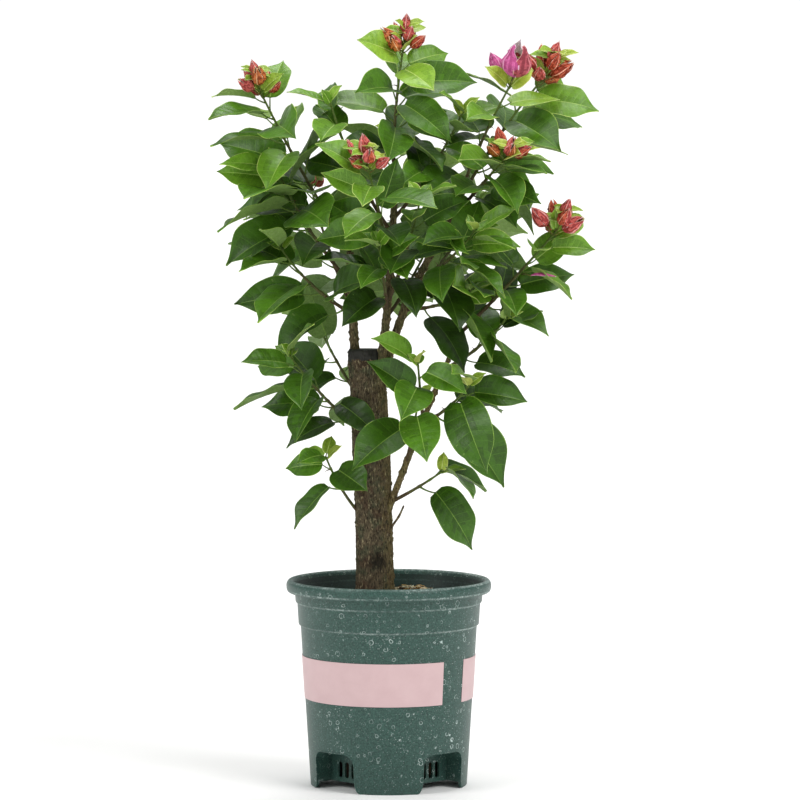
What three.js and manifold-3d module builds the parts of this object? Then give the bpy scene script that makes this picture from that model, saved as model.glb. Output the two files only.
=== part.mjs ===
// A potted bougainvillea trained as a small standard: a thick sawn-off stem in a round
// nursery pot, three limbs that rise from the top of the stem, one long low branch, and
// leafy shoots that end in young coloured bracts.
//
// Frame: millimetres, +Z up, the pot's axis is the Z axis, the ground is Z = 0, and the
// front of the plant faces -Y. Each shoot is one mass of twig, leaves and bracts fused
// into one solid, and each mass keeps clear of every other piece.

import * as THREE from "three";
import { mergeVertices } from "three/addons/utils/BufferGeometryUtils.js";
import Module from "manifold-3d";

const wasm = await Module();
wasm.setup();

const vec = (x, y, z) => new THREE.Vector3(x, y, z);
const radians = THREE.MathUtils.degToRad;
const UP = vec(0, 0, 1);

// ---------------------------------------------------------------- driving sizes

const CLEARANCE = 0.3; // gap kept between pieces that touch on the real plant

// Pot: radii at the heights where the outer wall changes.
const POT = {
  height: 171,
  wall: 1.8,
  footRadius: 64.9,
  shoulderHeight: 133.5, // top of the plain tapered wall
  shoulderRadius: 73.2,
  bandStep: 1.6, // each band stands out this far
  bandHeight: 18.5, // the lower band under the rim
  collarHeight: 8.5, // the upper band under the rim
  rimRadius: 85,
  rimHeight: 10,
  floorHeight: 5.5, // underside of the raised floor
  centreFootRadius: 13,
  segments: 32,
};

// The arched drainage niches round the foot, one every quarter turn.
const NICHE = {
  count: 4,
  firstBearing: 45,
  halfWidth: 22,
  height: 32,
  cornerRadius: 9,
  flareHeight: 10,
  flare: 4.5,
  backRadius: 45, // distance of the niche's back wall from the pot's axis
  slots: 4,
  slotWidth: 3.2,
  slotPitch: 7.6,
  slotBottom: 8.5,
  slotTop: 22,
};

const LABEL = {
  bottom: 73,
  height: 35.5,
  thickness: 0.5,
  spans: [
    ["label_front", -121, 39],
    ["label_back", 59, 219],
  ], // bearings in degrees from the front, turning to the right
  segments: 16,
};

const SOIL = { edgeHeight: 149, moundHeight: 156, moundRadius: 29 };

// Stem and limbs: each is a tapered tube on a quadratic curve from foot through elbow to tip.
const TRUNK = {
  name: "trunk",
  foot: vec(-11.5, 0, SOIL.moundHeight + CLEARANCE),
  elbow: vec(-12, 0, 262),
  tip: vec(-19.5, 0, 362),
  radii: [15.4, 14],
  flare: 0.8,
  sides: 18,
  steps: 9,
};

const LIMBS = [
  {
    name: "limb_left",
    from: "trunk",
    foot: vec(-27, 2, 342),
    elbow: vec(-30.5, 3, 400),
    tip: vec(-32, 5, 442),
    radii: [3.9, 3.0],
  },
  {
    name: "limb_middle",
    from: "trunk",
    foot: vec(-11, -7, 322),
    elbow: vec(2, -13, 400),
    tip: vec(4.5, -2, 483),
    radii: [3.8, 2.5],
  },
  {
    name: "limb_right",
    from: "trunk",
    foot: vec(-9, 1, 318),
    elbow: vec(8, 2, 408),
    tip: vec(58, 0, 476),
    radii: [4.0, 2.3],
  },
  {
    name: "branch_low",
    from: "trunk",
    foot: vec(-4, -6, 219),
    elbow: vec(27, -12, 304),
    tip: vec(58.5, -10, 375),
    radii: [2.9, 1.8],
  },
  {
    name: "twig_bare",
    from: "trunk",
    foot: vec(-2, -7, 211),
    elbow: vec(7, -10, 219),
    tip: vec(12.5, -10, 233),
    radii: [1, 0.6],
  },
];
const LIMB_SIDES = 7;
const LIMB_STEPS = 7;

// Leafy shoots. from/at: the limb that carries it and the share of that limb's length;
// on the trunk, at is that share too. reach: the shoot's growing tip. bow: how far the
// middle of the shoot is pushed, in millimetres. bare: the share of its length without
// leaves, where it isn't the usual one. leaf: length of its largest leaf. turn:
// bearing of its first leaf, in degrees round +Z from +X. blooms: number of young bract
// clusters at the tip, and bloom their size.
const SHOOTS = [
  { name: "shoot_top", from: "limb_middle", at: 1, reach: vec(12.5, -4, 612), bow: vec(-7, 0, 0), leaves: 16, leaf: 60, turn: 200, blooms: 8, bloom: 1, seed: 3 },
  { name: "shoot_left_high", from: "limb_left", at: 1, reach: vec(-106, -18, 576), bow: vec(-4, 0, -2), leaves: 15, leaf: 64, turn: 165, blooms: 7, bloom: 1, seed: 5 },
  { name: "shoot_right_high", from: "limb_right", at: 0.84, reach: vec(130, 20, 588), bow: vec(-10, 8, 4), leaves: 14, leaf: 64, turn: 20, blooms: 9, bloom: 1.25, seed: 7 },
  { name: "shoot_right_top", from: "limb_right", at: 0.92, reach: vec(100, -16, 580), bow: vec(-6, -4, 2), leaves: 6, leaf: 56, turn: 190, blooms: 3, bloom: 1.6, seed: 107 },
  { name: "shoot_right_middle", from: "limb_right", at: 1, reach: vec(95, -58, 520), bow: vec(2, -6, 4), leaves: 11, leaf: 54, turn: 300, blooms: 7, bloom: 1, seed: 11 },
  { name: "shoot_front", from: "limb_middle", at: 0.62, reach: vec(-17, -98, 514), bow: vec(6, -10, -6), leaves: 11, leaf: 56, turn: 250, blooms: 6, bloom: 1, seed: 13 },
  { name: "shoot_right_low", from: "branch_low", at: 1, reach: vec(138, -26, 461), bow: vec(0, 0, -4), leaves: 11, leaf: 49, turn: 345, blooms: 7, bloom: 1.1, seed: 17 },
  { name: "shoot_left_middle", from: "limb_left", at: 0.7, reach: vec(-92, -22, 512), bow: vec(-6, 0, -8), leaves: 10, leaf: 70, turn: 160, blooms: 0, seed: 19 },
  { name: "shoot_left_low", from: "limb_left", at: 0.45, reach: vec(-88, -30, 446), bow: vec(-6, -4, -8), bare: 0.1, leaves: 7, leaf: 66, turn: 200, blooms: 0, seed: 71 },
  { name: "shoot_top_left", from: "limb_middle", at: 0.84, reach: vec(-48, -26, 566), bow: vec(-8, -2, -6), leaves: 9, leaf: 56, turn: 178, blooms: 0, seed: 73 },
  { name: "shoot_top_right", from: "limb_middle", at: 0.92, reach: vec(60, -16, 556), bow: vec(4, -2, -8), leaves: 10, leaf: 58, turn: 20, blooms: 0, seed: 101 },
  { name: "shoot_centre_high", from: "limb_middle", at: 0.5, reach: vec(26, -70, 488), bow: vec(2, -8, -6), leaves: 7, leaf: 56, turn: 270, blooms: 0, seed: 79 },
  { name: "shoot_centre", from: "limb_middle", at: 0.46, reach: vec(-8, -62, 450), bow: vec(2, -6, -8), leaves: 6, leaf: 52, turn: 220, blooms: 0, seed: 23 },
  { name: "shoot_front_right", from: "limb_right", at: 0.6, reach: vec(70, -74, 462), bow: vec(2, -6, -8), leaves: 10, leaf: 56, turn: 290, blooms: 0, seed: 29 },
  { name: "shoot_inner_right", from: "limb_right", at: 0.45, reach: vec(68, -24, 412), bow: vec(2, -4, -8), leaves: 6, leaf: 60, turn: 340, blooms: 0, seed: 83 },
  { name: "shoot_low_left", from: "trunk", at: 0.64, reach: vec(-82, -14, 358), bow: vec(-2, 0, -10), leaves: 10, leaf: 60, turn: 205, blooms: 0, seed: 31 },
  { name: "shoot_foot_left", from: "trunk", at: 0.27, reach: vec(-52, -14, 274), bow: vec(-6, 0, -6), bare: 0.6, leaves: 4, leaf: 50, turn: 215, blooms: 0, seed: 37 },
  { name: "shoot_low_right", from: "branch_low", at: 0.5, reach: vec(66, -36, 334), bow: vec(2, -4, -6), leaves: 5, leaf: 68, turn: 345, blooms: 0, seed: 41 },
  { name: "shoot_low_middle", from: "branch_low", at: 0.52, reach: vec(24, -44, 352), bow: vec(0, -6, -4), bare: 0.6, leaves: 3, leaf: 62, turn: 240, blooms: 0, seed: 103 },
  { name: "shoot_low_front", from: "branch_low", at: 0.3, reach: vec(24, -40, 320), bow: vec(0, -6, -4), bare: 0.5, leaves: 3, leaf: 74, turn: 190, blooms: 0, seed: 43 },
  { name: "shoot_foot_right", from: "branch_low", at: 0.1, reach: vec(44, -20, 262), bow: vec(0, -2, -2), bare: 0.55, leaves: 3, leaf: 68, turn: 350, blooms: 0, seed: 89 },
  { name: "shoot_side_right", from: "branch_low", at: 0.8, reach: vec(96, -28, 388), bow: vec(4, -4, -6), leaves: 5, leaf: 50, turn: 0, blooms: 0, seed: 47 },
  { name: "shoot_back_left", from: "limb_left", at: 0.5, reach: vec(-66, 98, 494), bow: vec(-4, 8, -6), leaves: 11, leaf: 62, turn: 110, blooms: 4, bloom: 1, seed: 53 },
  { name: "shoot_back_middle", from: "limb_middle", at: 0.6, reach: vec(4, 118, 528), bow: vec(0, 10, -6), leaves: 12, leaf: 62, turn: 80, blooms: 5, bloom: 1, seed: 59 },
  { name: "shoot_back_right", from: "limb_right", at: 0.5, reach: vec(80, 108, 480), bow: vec(2, 8, -6), leaves: 10, leaf: 62, turn: 50, blooms: 0, seed: 61 },
  { name: "shoot_back_low", from: "trunk", at: 0.74, reach: vec(-60, 78, 378), bow: vec(0, 6, -8), leaves: 7, leaf: 58, turn: 100, blooms: 0, seed: 67 },
  { name: "shoot_back_centre", from: "limb_middle", at: 0.42, reach: vec(34, 92, 446), bow: vec(0, 6, -8), leaves: 9, leaf: 60, turn: 60, blooms: 0, seed: 97 },
];

const TWIG = {
  footRadius: 1.9,
  tipRadius: 0.9,
  sides: 3,
  steps: 5,
  firstLeaf: 0.28, // share of the length at which the leaves begin
  lastLeaf: 0.97,
  bareLength: 5, // and no nearer the limb's bark than this
};

const LEAF = {
  aspect: 0.58, // width over length
  petiole: 0.24, // stalk over blade length
  petioleRadius: 0.8,
  keel: 0.8, // how far the midrib stands below the blade
  goldenTurn: 137.5,
  stations: [0.29, 0.64], // shares of the length where the blade's mesh has a corner
  outreach: 0.55, // how far leaves turn from the spiral towards the outside of the crown
  outward: 0.55, // how far a blade faces away from the pot's axis, against facing up
  sideward: 0.6, // how far it faces the nearer of the front and the back
  hang: 1.1, // fall of the lowest blades, against their reach
  backFrom: 40, // leaves beyond this distance behind the pot's axis face the back
  lowest: 190, // height of the lowest leaves, which hang most
  highest: 620,
};
const TURNS = [0, 24, -24, 48, -48, 75, -75, 105, -105]; // tried in this order to find room

const BLOOM = { length: 19, radius: 6.6, stalk: 9, stalkRadius: 0.8, corners: 4, spacing: 0.01, spread: 1.7 };

// ---------------------------------------------------------------- small helpers

// A repeatable stream of numbers from 0 to 1.
function stream(seed) {
  let state = seed >>> 0;
  return () => {
    state = (Math.imul(state, 1664525) + 1013904223) >>> 0;
    return state / 4294967296;
  };
}

function solidOf(geometry) {
  const bare = geometry.clone();
  bare.deleteAttribute("normal");
  bare.deleteAttribute("uv");
  const merged = mergeVertices(bare, 1e-4);
  return new wasm.Manifold(
    new wasm.Mesh({
      numProp: 3,
      vertProperties: merged.attributes.position.array,
      triVerts: new Uint32Array(merged.index.array),
    }),
  );
}

function geometryOf(solid) {
  const mesh = solid.getMesh();
  const places = new Float32Array(mesh.numVert * 3);
  for (let i = 0; i < mesh.numVert; i++) {
    const start = i * mesh.numProp;
    places.set(mesh.vertProperties.subarray(start, start + 3), i * 3);
  }
  return new THREE.BufferGeometry()
    .setAttribute("position", new THREE.BufferAttribute(places, 3))
    .setIndex(new THREE.BufferAttribute(mesh.triVerts, 1));
}

function geometryFrom(points, triangles) {
  const geometry = new THREE.BufferGeometry().setFromPoints(points);
  return geometry.setIndex(triangles.flat());
}

// A tapered tube along a curve. radiusAt gives the radius at a share of the length.
function taperedTube(curve, radiusAt, sides, steps) {
  const frames = curve.computeFrenetFrames(steps);
  const points = [];
  const triangles = [];
  for (let i = 0; i <= steps; i++) {
    const centre = curve.getPoint(i / steps);
    const radius = radiusAt(i / steps);
    for (let j = 0; j < sides; j++) {
      const angle = (2 * Math.PI * j) / sides;
      points.push(
        centre
          .clone()
          .addScaledVector(frames.normals[i], radius * Math.cos(angle))
          .addScaledVector(frames.binormals[i], radius * Math.sin(angle)),
      );
    }
  }
  const ring = (i, j) => i * sides + (j % sides);
  for (let i = 0; i < steps; i++) {
    for (let j = 0; j < sides; j++) {
      triangles.push([ring(i, j), ring(i, j + 1), ring(i + 1, j + 1)]);
      triangles.push([ring(i, j), ring(i + 1, j + 1), ring(i + 1, j)]);
    }
  }
  for (let j = 1; j < sides - 1; j++) {
    triangles.push([ring(0, 0), ring(0, j + 1), ring(0, j)]);
    triangles.push([ring(steps, 0), ring(steps, j), ring(steps, j + 1)]);
  }
  return geometryFrom(points, triangles);
}

const curveOf = ({ foot, elbow, tip }) => new THREE.QuadraticBezierCurve3(foot, elbow, tip);

// ---------------------------------------------------------------- pot

const wallRadius = (height) =>
  THREE.MathUtils.mapLinear(height, 0, POT.shoulderHeight, POT.footRadius, POT.shoulderRadius);

function lathed(profile, segments = POT.segments) {
  const points = profile.map(([radius, height]) => new THREE.Vector2(radius, height));
  const geometry = new THREE.LatheGeometry(points, segments).rotateX(Math.PI / 2);
  const solid = solidOf(geometry);
  return solid;
}

// Outline of a niche's arch, looking outwards: straight sides, round top corners and a
// foot that flares near the ground. grow widens it on every side.
function archShape(grow) {
  const half = NICHE.halfWidth + grow;
  const top = NICHE.height + grow;
  const corner = NICHE.cornerRadius + grow;
  const flared = half + NICHE.flare;
  const below = -4;
  const shape = new THREE.Shape();
  shape.moveTo(-flared, below);
  shape.lineTo(flared, below);
  shape.lineTo(flared, 0);
  shape.lineTo(half, NICHE.flareHeight);
  shape.lineTo(half, top - corner);
  shape.absarc(half - corner, top - corner, corner, 0, Math.PI / 2);
  shape.absarc(corner - half, top - corner, corner, Math.PI / 2, Math.PI);
  shape.lineTo(-half, NICHE.flareHeight);
  shape.lineTo(-flared, 0);
  return shape;
}

// An extruded shape stood upright so that it runs outwards from a radius, at a bearing
// turned from the front.
function outwardBlock(shape, fromRadius, depth, bearing) {
  const geometry = new THREE.ExtrudeGeometry(shape, {
    depth,
    bevelEnabled: false,
    curveSegments: 2,
  });
  geometry.rotateX(Math.PI / 2); // the shape's Y becomes up, and it runs towards -Y
  geometry.translate(0, -fromRadius, 0);
  geometry.rotateZ(radians(bearing));
  return solidOf(geometry);
}

function slotShape(offset) {
  const half = NICHE.slotWidth / 2;
  const shape = new THREE.Shape();
  shape.moveTo(offset - half, NICHE.slotBottom);
  shape.lineTo(offset + half, NICHE.slotBottom);
  shape.lineTo(offset + half, NICHE.slotTop);
  shape.lineTo(offset - half, NICHE.slotTop);
  shape.closePath();
  return shape;
}

function nicheBearings() {
  const step = 360 / NICHE.count;
  return Array.from({ length: NICHE.count }, (_, i) => NICHE.firstBearing + step * i);
}

function potSolid() {
  const { wall, height, bandStep, shoulderHeight, shoulderRadius } = POT;
  const bandTop = shoulderHeight + POT.bandHeight;
  const collarTop = bandTop + POT.collarHeight;
  const band = shoulderRadius + bandStep;
  const collar = band + bandStep + 1;
  const floorTop = POT.floorHeight + wall;
  const rimMiddle = height - POT.rimHeight / 2;
  const outside = [
    [POT.footRadius - wall, 0],
    [POT.footRadius - 0.4, 0],
    [wallRadius(1), 1],
    [shoulderRadius, shoulderHeight],
    [band, shoulderHeight + 1],
    [band + 1.2, bandTop],
    [collar, bandTop + 1],
    [collar + 0.6, collarTop],
    [POT.rimRadius - 2.2, collarTop],
    [POT.rimRadius - 1, rimMiddle - 2],
    [POT.rimRadius - 1.8, rimMiddle - 1],
    [POT.rimRadius, rimMiddle + 1.5],
    [POT.rimRadius - 1, height - 1],
    [POT.rimRadius - 3.6, height],
  ];
  const inside = [
    [collar + 0.6 - wall, height - 1.5],
    [band + 1.2 - wall, bandTop - 0.5],
    [band - wall, shoulderHeight + 0.5],
    [shoulderRadius - wall, shoulderHeight - 0.5],
    [wallRadius(floorTop) - wall, floorTop],
    [0, floorTop],
  ];
  const underside = [
    [0, 0],
    [POT.centreFootRadius, 0],
    [POT.centreFootRadius + 1.5, POT.floorHeight],
    [POT.footRadius - wall - 0.6, POT.floorHeight],
  ];
  let pot = lathed([...underside, ...outside, ...inside]);
  const envelope = lathed([
    [0, -5],
    [wallRadius(-5), -5],
    [wallRadius(60), 60],
    [0, 60],
  ]);
  for (const bearing of nicheBearings()) {
    const lining = outwardBlock(archShape(wall), NICHE.backRadius - wall, 40, bearing)
      .intersect(envelope)
      .trimByPlane([0, 0, 1], 0);
    pot = pot.add(lining);
  }
  for (const bearing of nicheBearings()) {
    pot = pot.subtract(outwardBlock(archShape(0), NICHE.backRadius, 40, bearing));
    for (let i = 0; i < NICHE.slots; i++) {
      const offset = (i - (NICHE.slots - 1) / 2) * NICHE.slotPitch;
      pot = pot.subtract(outwardBlock(slotShape(offset), NICHE.backRadius - 6, 8, bearing));
    }
  }
  return pot;
}

// A curved plate on the pot's wall between two bearings from the front.
function labelSolid(from, to) {
  const gap = CLEARANCE + 0.1; // the facets of the wall and the label don't line up
  const bottom = LABEL.bottom;
  const top = LABEL.bottom + LABEL.height;
  const inner = (height) => wallRadius(height) + gap;
  const outer = (height) => inner(height) + LABEL.thickness;
  const points = [];
  for (let i = 0; i <= LABEL.segments; i++) {
    const angle = radians(from + ((to - from) * i) / LABEL.segments - 90);
    const corners = [
      [inner(bottom), bottom],
      [outer(bottom), bottom],
      [outer(top), top],
      [inner(top), top],
    ];
    for (const [radius, height] of corners) {
      points.push(vec(radius * Math.cos(angle), radius * Math.sin(angle), height));
    }
  }
  const at = (i, j) => i * 4 + (j % 4);
  const triangles = [];
  for (let i = 0; i < LABEL.segments; i++) {
    for (let j = 0; j < 4; j++) {
      triangles.push([at(i, j), at(i + 1, j), at(i + 1, j + 1)]);
      triangles.push([at(i, j), at(i + 1, j + 1), at(i, j + 1)]);
    }
  }
  const last = LABEL.segments;
  triangles.push([at(0, 0), at(0, 1), at(0, 2)], [at(0, 0), at(0, 2), at(0, 3)]);
  triangles.push([at(last, 0), at(last, 2), at(last, 1)], [at(last, 0), at(last, 3), at(last, 2)]);
  const solid = solidOf(geometryFrom(points, triangles));
  return solid;
}

function soilSolid() {
  const clear = POT.wall + CLEARANCE + 0.3;
  const floorTop = POT.floorHeight + POT.wall + CLEARANCE;
  const band = POT.shoulderRadius + POT.bandStep;
  const profile = [
    [0, floorTop],
    [wallRadius(floorTop) - clear, floorTop],
    [POT.shoulderRadius - clear, POT.shoulderHeight - 1],
    [band - clear, POT.shoulderHeight + 2],
    [band + 0.9 - clear, SOIL.edgeHeight],
    [SOIL.moundRadius + 18, SOIL.moundHeight - 2],
    [SOIL.moundRadius, SOIL.moundHeight],
    [0, SOIL.moundHeight],
  ];
  let soil = lathed(profile);
  const grown = POT.wall + CLEARANCE;
  const block = new THREE.Shape()
    .moveTo(-NICHE.halfWidth - NICHE.flare - grown, 0)
    .lineTo(NICHE.halfWidth + NICHE.flare + grown, 0)
    .lineTo(NICHE.halfWidth + grown, NICHE.height + grown)
    .lineTo(-NICHE.halfWidth - grown, NICHE.height + grown);
  for (const bearing of nicheBearings()) {
    soil = soil.subtract(outwardBlock(block, NICHE.backRadius - grown, 40, bearing));
  }
  return soil;
}

// ---------------------------------------------------------------- stem and limbs

function trunkSolid(grow = 0) {
  const radiusAt = (share) =>
    THREE.MathUtils.lerp(TRUNK.radii[0], TRUNK.radii[1], share) +
    TRUNK.flare * Math.exp(-share * 14) +
    0.8 * Math.sin(Math.PI * Math.min(1, Math.max(0, (share - 0.35) / 0.5))) +
    grow;
  return solidOf(taperedTube(curveOf(TRUNK), radiusAt, TRUNK.sides, TRUNK.steps));
}

function limbSolid(limb, grow = 0) {
  const radiusAt = (share) => THREE.MathUtils.lerp(limb.radii[0], limb.radii[1], share) + grow;
  const curve = curveOf(limb);
  curve.v2 = curve.v2.clone().addScaledVector(curve.getTangent(1), grow);
  return solidOf(taperedTube(curve, radiusAt, LIMB_SIDES, LIMB_STEPS));
}

// ---------------------------------------------------------------- leaves and bracts

// Share of the full width at a share of the blade's length: egg-shaped, with a drawn-out tip.
function outlineAt(share) {
  const body = Math.pow(Math.sin(Math.PI * Math.pow(share, 0.62)), 0.9);
  return body * (1 - 0.35 * THREE.MathUtils.smoothstep(share, 0.5, 1));
}

// Where a leaf stands: its stalk's two ends, the blade's direction, normal and breadth, and
// its sizes. node is a point of the twig, along the twig's direction there, age is 0 for
// the oldest leaf and 1 at the tip, and draws are six numbers from 0 to 1.
function leafPlace(node, along, bearing, age, size, draws) {
  const angle = radians(bearing + 20 * (draws[0] - 0.5));
  const outward = vec(node.x, node.y, 0).normalize();
  const level = vec(Math.cos(angle), Math.sin(angle), 0)
    .addScaledVector(outward, LEAF.outreach)
    .normalize();
  const sideways = level.clone().addScaledVector(along, -level.dot(along)).normalize();
  const stalk = along.clone().multiplyScalar(0.45 + 0.6 * age).addScaledVector(sideways, 0.85).normalize();
  const length = size * (0.86 + 0.28 * draws[1]);
  const stalkEnd = node.clone().addScaledVector(stalk, LEAF.petiole * length);
  const height = (stalkEnd.z - LEAF.lowest) / (LEAF.highest - LEAF.lowest);
  const upward = 0.35 + 1.2 * height;
  const side = stalkEnd.y < LEAF.backFrom ? -1 : 1;
  const facing = vec(0.5 * (draws[3] - 0.5), side * LEAF.sideward * (0.35 + 1.1 * draws[4]), upward)
    .addScaledVector(outward, LEAF.outward * (0.3 + 1.4 * draws[2]))
    .normalize();
  level.z -= LEAF.hang * (1 - height) * (1 - height);
  const direction = level.clone().addScaledVector(facing, -level.dot(facing)).normalize();
  direction.multiplyScalar(1 - 0.45 * age * age).addScaledVector(along, 0.45 * age * age).normalize();
  const normal = facing.addScaledVector(direction, -facing.dot(direction)).normalize();
  const across = normal.clone().cross(direction);
  const bend = radians(18 + 34 * draws[5] * (1 - 0.6 * age));
  const fold = radians(3 + 9 * draws[2]);
  return { node, stalkEnd, direction, normal, across, length, bend, fold };
}

// The point of a blade's surface at a share of its length, across from -1 to 1, raised
// along the normal.
function bladePoint(place, share, aside, raised) {
  const { direction, normal, across, length, bend, fold } = place;
  const angle = bend * share;
  const half = 0.5 * LEAF.aspect * length * outlineAt(share) * aside;
  const upright = normal.clone().multiplyScalar(Math.cos(angle)).addScaledVector(direction, Math.sin(angle));
  return place.stalkEnd
    .clone()
    .addScaledVector(direction, (length / bend) * Math.sin(angle))
    .addScaledVector(normal, (-length / bend) * (1 - Math.cos(angle)))
    .addScaledVector(across, half * Math.cos(fold))
    .addScaledVector(upright, Math.abs(half) * Math.sin(fold) + raised);
}

// A closed skin through a list of rings that all have as many corners, flat at the first
// ring and drawn to a point beyond the last. Corners run left-handed as seen from the foot.
function ringedSolid(rings, tip) {
  const points = rings.flat();
  const corners = rings[0].length;
  const last = rings.length - 1;
  const at = (ring, corner) => ring * corners + (corner % corners);
  const triangles = [];
  for (let j = 1; j < corners - 1; j++) triangles.push([at(0, 0), at(0, j + 1), at(0, j)]);
  for (let j = 0; j < corners; j++) {
    for (let i = 0; i < last; i++) {
      triangles.push([at(i, j), at(i + 1, j + 1), at(i + 1, j)]);
      triangles.push([at(i, j), at(i, j + 1), at(i + 1, j + 1)]);
    }
    triangles.push([points.length, at(last, j), at(last, j + 1)]);
  }
  return solidOf(geometryFrom([...points, tip], triangles));
}

// Corners spread evenly round a point, the last of them straight down the normal.
function evenRing(centre, across, normal, radius, corners) {
  return Array.from({ length: corners }, (_, i) => {
    const angle = -Math.PI / 2 + (2 * Math.PI * (i + 1)) / corners;
    return centre
      .clone()
      .addScaledVector(across, radius * Math.cos(angle))
      .addScaledVector(normal, radius * Math.sin(angle));
  });
}

// A leaf in one closed skin: its stalk, sunk into the twig, and its blade, flat above and
// keeled below. swell thickens it.
function leafSolid(place, swell = 0) {
  const { node, stalkEnd, across, normal } = place;
  const radius = LEAF.petioleRadius + swell / 2;
  const rings = [
    evenRing(node, across, normal, radius, 3),
    evenRing(stalkEnd, across, normal, radius, 3),
    ...LEAF.stations.map((share) => [
      bladePoint(place, share, 1, swell),
      bladePoint(place, share, -1, swell),
      bladePoint(place, share, 0, -LEAF.keel - swell),
    ]),
  ];
  return ringedSolid(rings, bladePoint(place, 1, 0, 0));
}

// A young bract cluster: a spindle of folded bracts on a thin stalk, in one closed skin.
function bloomSolid(foot, direction, size) {
  const normal = direction.clone().cross(vec(0.3, 0.2, 1)).normalize();
  const across = normal.clone().cross(direction);
  const along = (distance) => foot.clone().addScaledVector(direction, distance * size);
  const { stalk, length, radius, stalkRadius, corners } = BLOOM;
  const rings = [
    evenRing(foot, across, normal, stalkRadius, corners),
    evenRing(along(stalk), across, normal, stalkRadius, corners),
    evenRing(along(stalk + 0.4 * length), across, normal, radius * size, corners),
  ];
  return ringedSolid(rings, along(stalk + length));
}

// ---------------------------------------------------------------- shoots

const boxesMeet = (a, b) =>
  [0, 1, 2].every((k) => a.min[k] <= b.max[k] && b.min[k] <= a.max[k]);

// Every solid placed so far, with the name of the piece it belongs to.
const taken = [];
function take(solid, owner) {
  taken.push({ solid, owner, box: solid.boundingBox() });
}

// Whether a solid keeps clear of everything placed, apart from one owner's pieces.
function isFree(solid, except) {
  const box = solid.boundingBox();
  return taken.every(
    (other) =>
      other.owner === except ||
      !boxesMeet(box, other.box) ||
      other.solid.intersect(solid).isEmpty(),
  );
}

// The shoot's curve runs from the middle of its limb to its own tip.
function shootCurve(shoot, limbCurve) {
  const foot = limbCurve.getPoint(shoot.at);
  const elbow = foot.clone().lerp(shoot.reach, 0.5).add(shoot.bow);
  return new THREE.QuadraticBezierCurve3(foot, elbow, shoot.reach.clone());
}

function twigSolid(curve) {
  const radiusAt = (share) => THREE.MathUtils.lerp(TWIG.footRadius, TWIG.tipRadius, share);
  return solidOf(taperedTube(curve, radiusAt, TWIG.sides, TWIG.steps));
}

// The share of the shoot's length at which its first leaf stands, clear of the limb.
function firstShare(shoot, curve, limbRadius) {
  return Math.max(shoot.bare ?? TWIG.firstLeaf, (limbRadius + TWIG.bareLength) / curve.getLength());
}

// The leaf of one node of a shoot, in the first turned place that is free, or null.
function placedLeaf(shoot, share, index, draws) {
  const size = shoot.leaf * (0.8 + 0.5 * share - 0.72 * share * share * share);
  const node = shoot.curve.getPoint(share);
  const along = shoot.curve.getTangent(share);
  for (const turned of TURNS) {
    const bearing = shoot.turn + LEAF.goldenTurn * index + turned;
    const place = leafPlace(node, along, bearing, share, size, draws);
    const probe = leafSolid(place, CLEARANCE);
    if (isFree(probe, shoot.name + " twig")) {
      take(probe, shoot.name);
      return place;
    }
  }
  return null;
}

function shootLeaves(shoot) {
  const next = stream(shoot.seed);
  const solids = [];
  for (let i = 0; i < shoot.leaves; i++) {
    const share = THREE.MathUtils.lerp(shoot.first, TWIG.lastLeaf, i / (shoot.leaves - 1));
    const draws = Array.from({ length: 6 }, next);
    const place = placedLeaf(shoot, share, i, draws);
    if (place) solids.push(leafSolid(place));
  }
  return solids;
}

function shootBlooms(shoot) {
  const next = stream(shoot.seed + 1000);
  const along = shoot.curve.getTangent(1);
  const solids = [];
  for (let i = 0; i < shoot.blooms; i++) {
    const foot = shoot.curve.getPoint(1 - BLOOM.spacing * i);
    const angle = radians(LEAF.goldenTurn * i + 20 * next());
    const spread = BLOOM.spread * Math.sqrt(i / shoot.blooms);
    const size = shoot.bloom * (1.1 - 0.3 * next());
    const direction = vec(Math.cos(angle) * spread, Math.sin(angle) * spread, 0.5)
      .addScaledVector(along, 0.6)
      .normalize();
    solids.push(bloomSolid(foot, direction, size));
  }
  return solids;
}

// ---------------------------------------------------------------- the plant

const COLOURS = {
  pot: new THREE.MeshStandardMaterial({ color: 0x47655c, roughness: 0.5, metalness: 0 }),
  label: new THREE.MeshStandardMaterial({ color: 0xe6bfc0, roughness: 0.6, metalness: 0 }),
  soil: new THREE.MeshStandardMaterial({ color: 0x5a4430, roughness: 0.95, metalness: 0 }),
  bark: new THREE.MeshStandardMaterial({ color: 0x5c5140, roughness: 0.9, metalness: 0 }),
  foliage: new THREE.MeshStandardMaterial({ color: 0x4c7a32, roughness: 0.5, metalness: 0 }),
};

const plant = new THREE.Group();
plant.name = "potted_bougainvillea";

function addNode(name, solid, material) {
  const mesh = new THREE.Mesh(geometryOf(solid), material.clone());
  mesh.name = name;
  plant.add(mesh);
}

function addFixed(name, solid, material) {
  addNode(name, solid, material);
  take(solid, name);
}

addFixed("pot", potSolid(), COLOURS.pot);
for (const [name, from, to] of LABEL.spans) addFixed(name, labelSolid(from, to), COLOURS.label);
addFixed("soil", soilSolid(), COLOURS.soil);
addFixed("trunk", trunkSolid(), COLOURS.bark);

const carriers = new Map([
  ["trunk", { curve: curveOf(TRUNK), grown: trunkSolid(CLEARANCE), radius: TRUNK.radii[0] }],
]);
for (const limb of LIMBS) {
  const solid = limbSolid(limb).subtract(carriers.get(limb.from).grown);
  const pieces = solid.decompose().sort((a, b) => b.volume() - a.volume());
  addFixed(limb.name, pieces[0], COLOURS.bark);
  carriers.set(limb.name, {
    curve: curveOf(limb),
    grown: limbSolid(limb, CLEARANCE),
    radius: limb.radii[0],
  });
}

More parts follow.
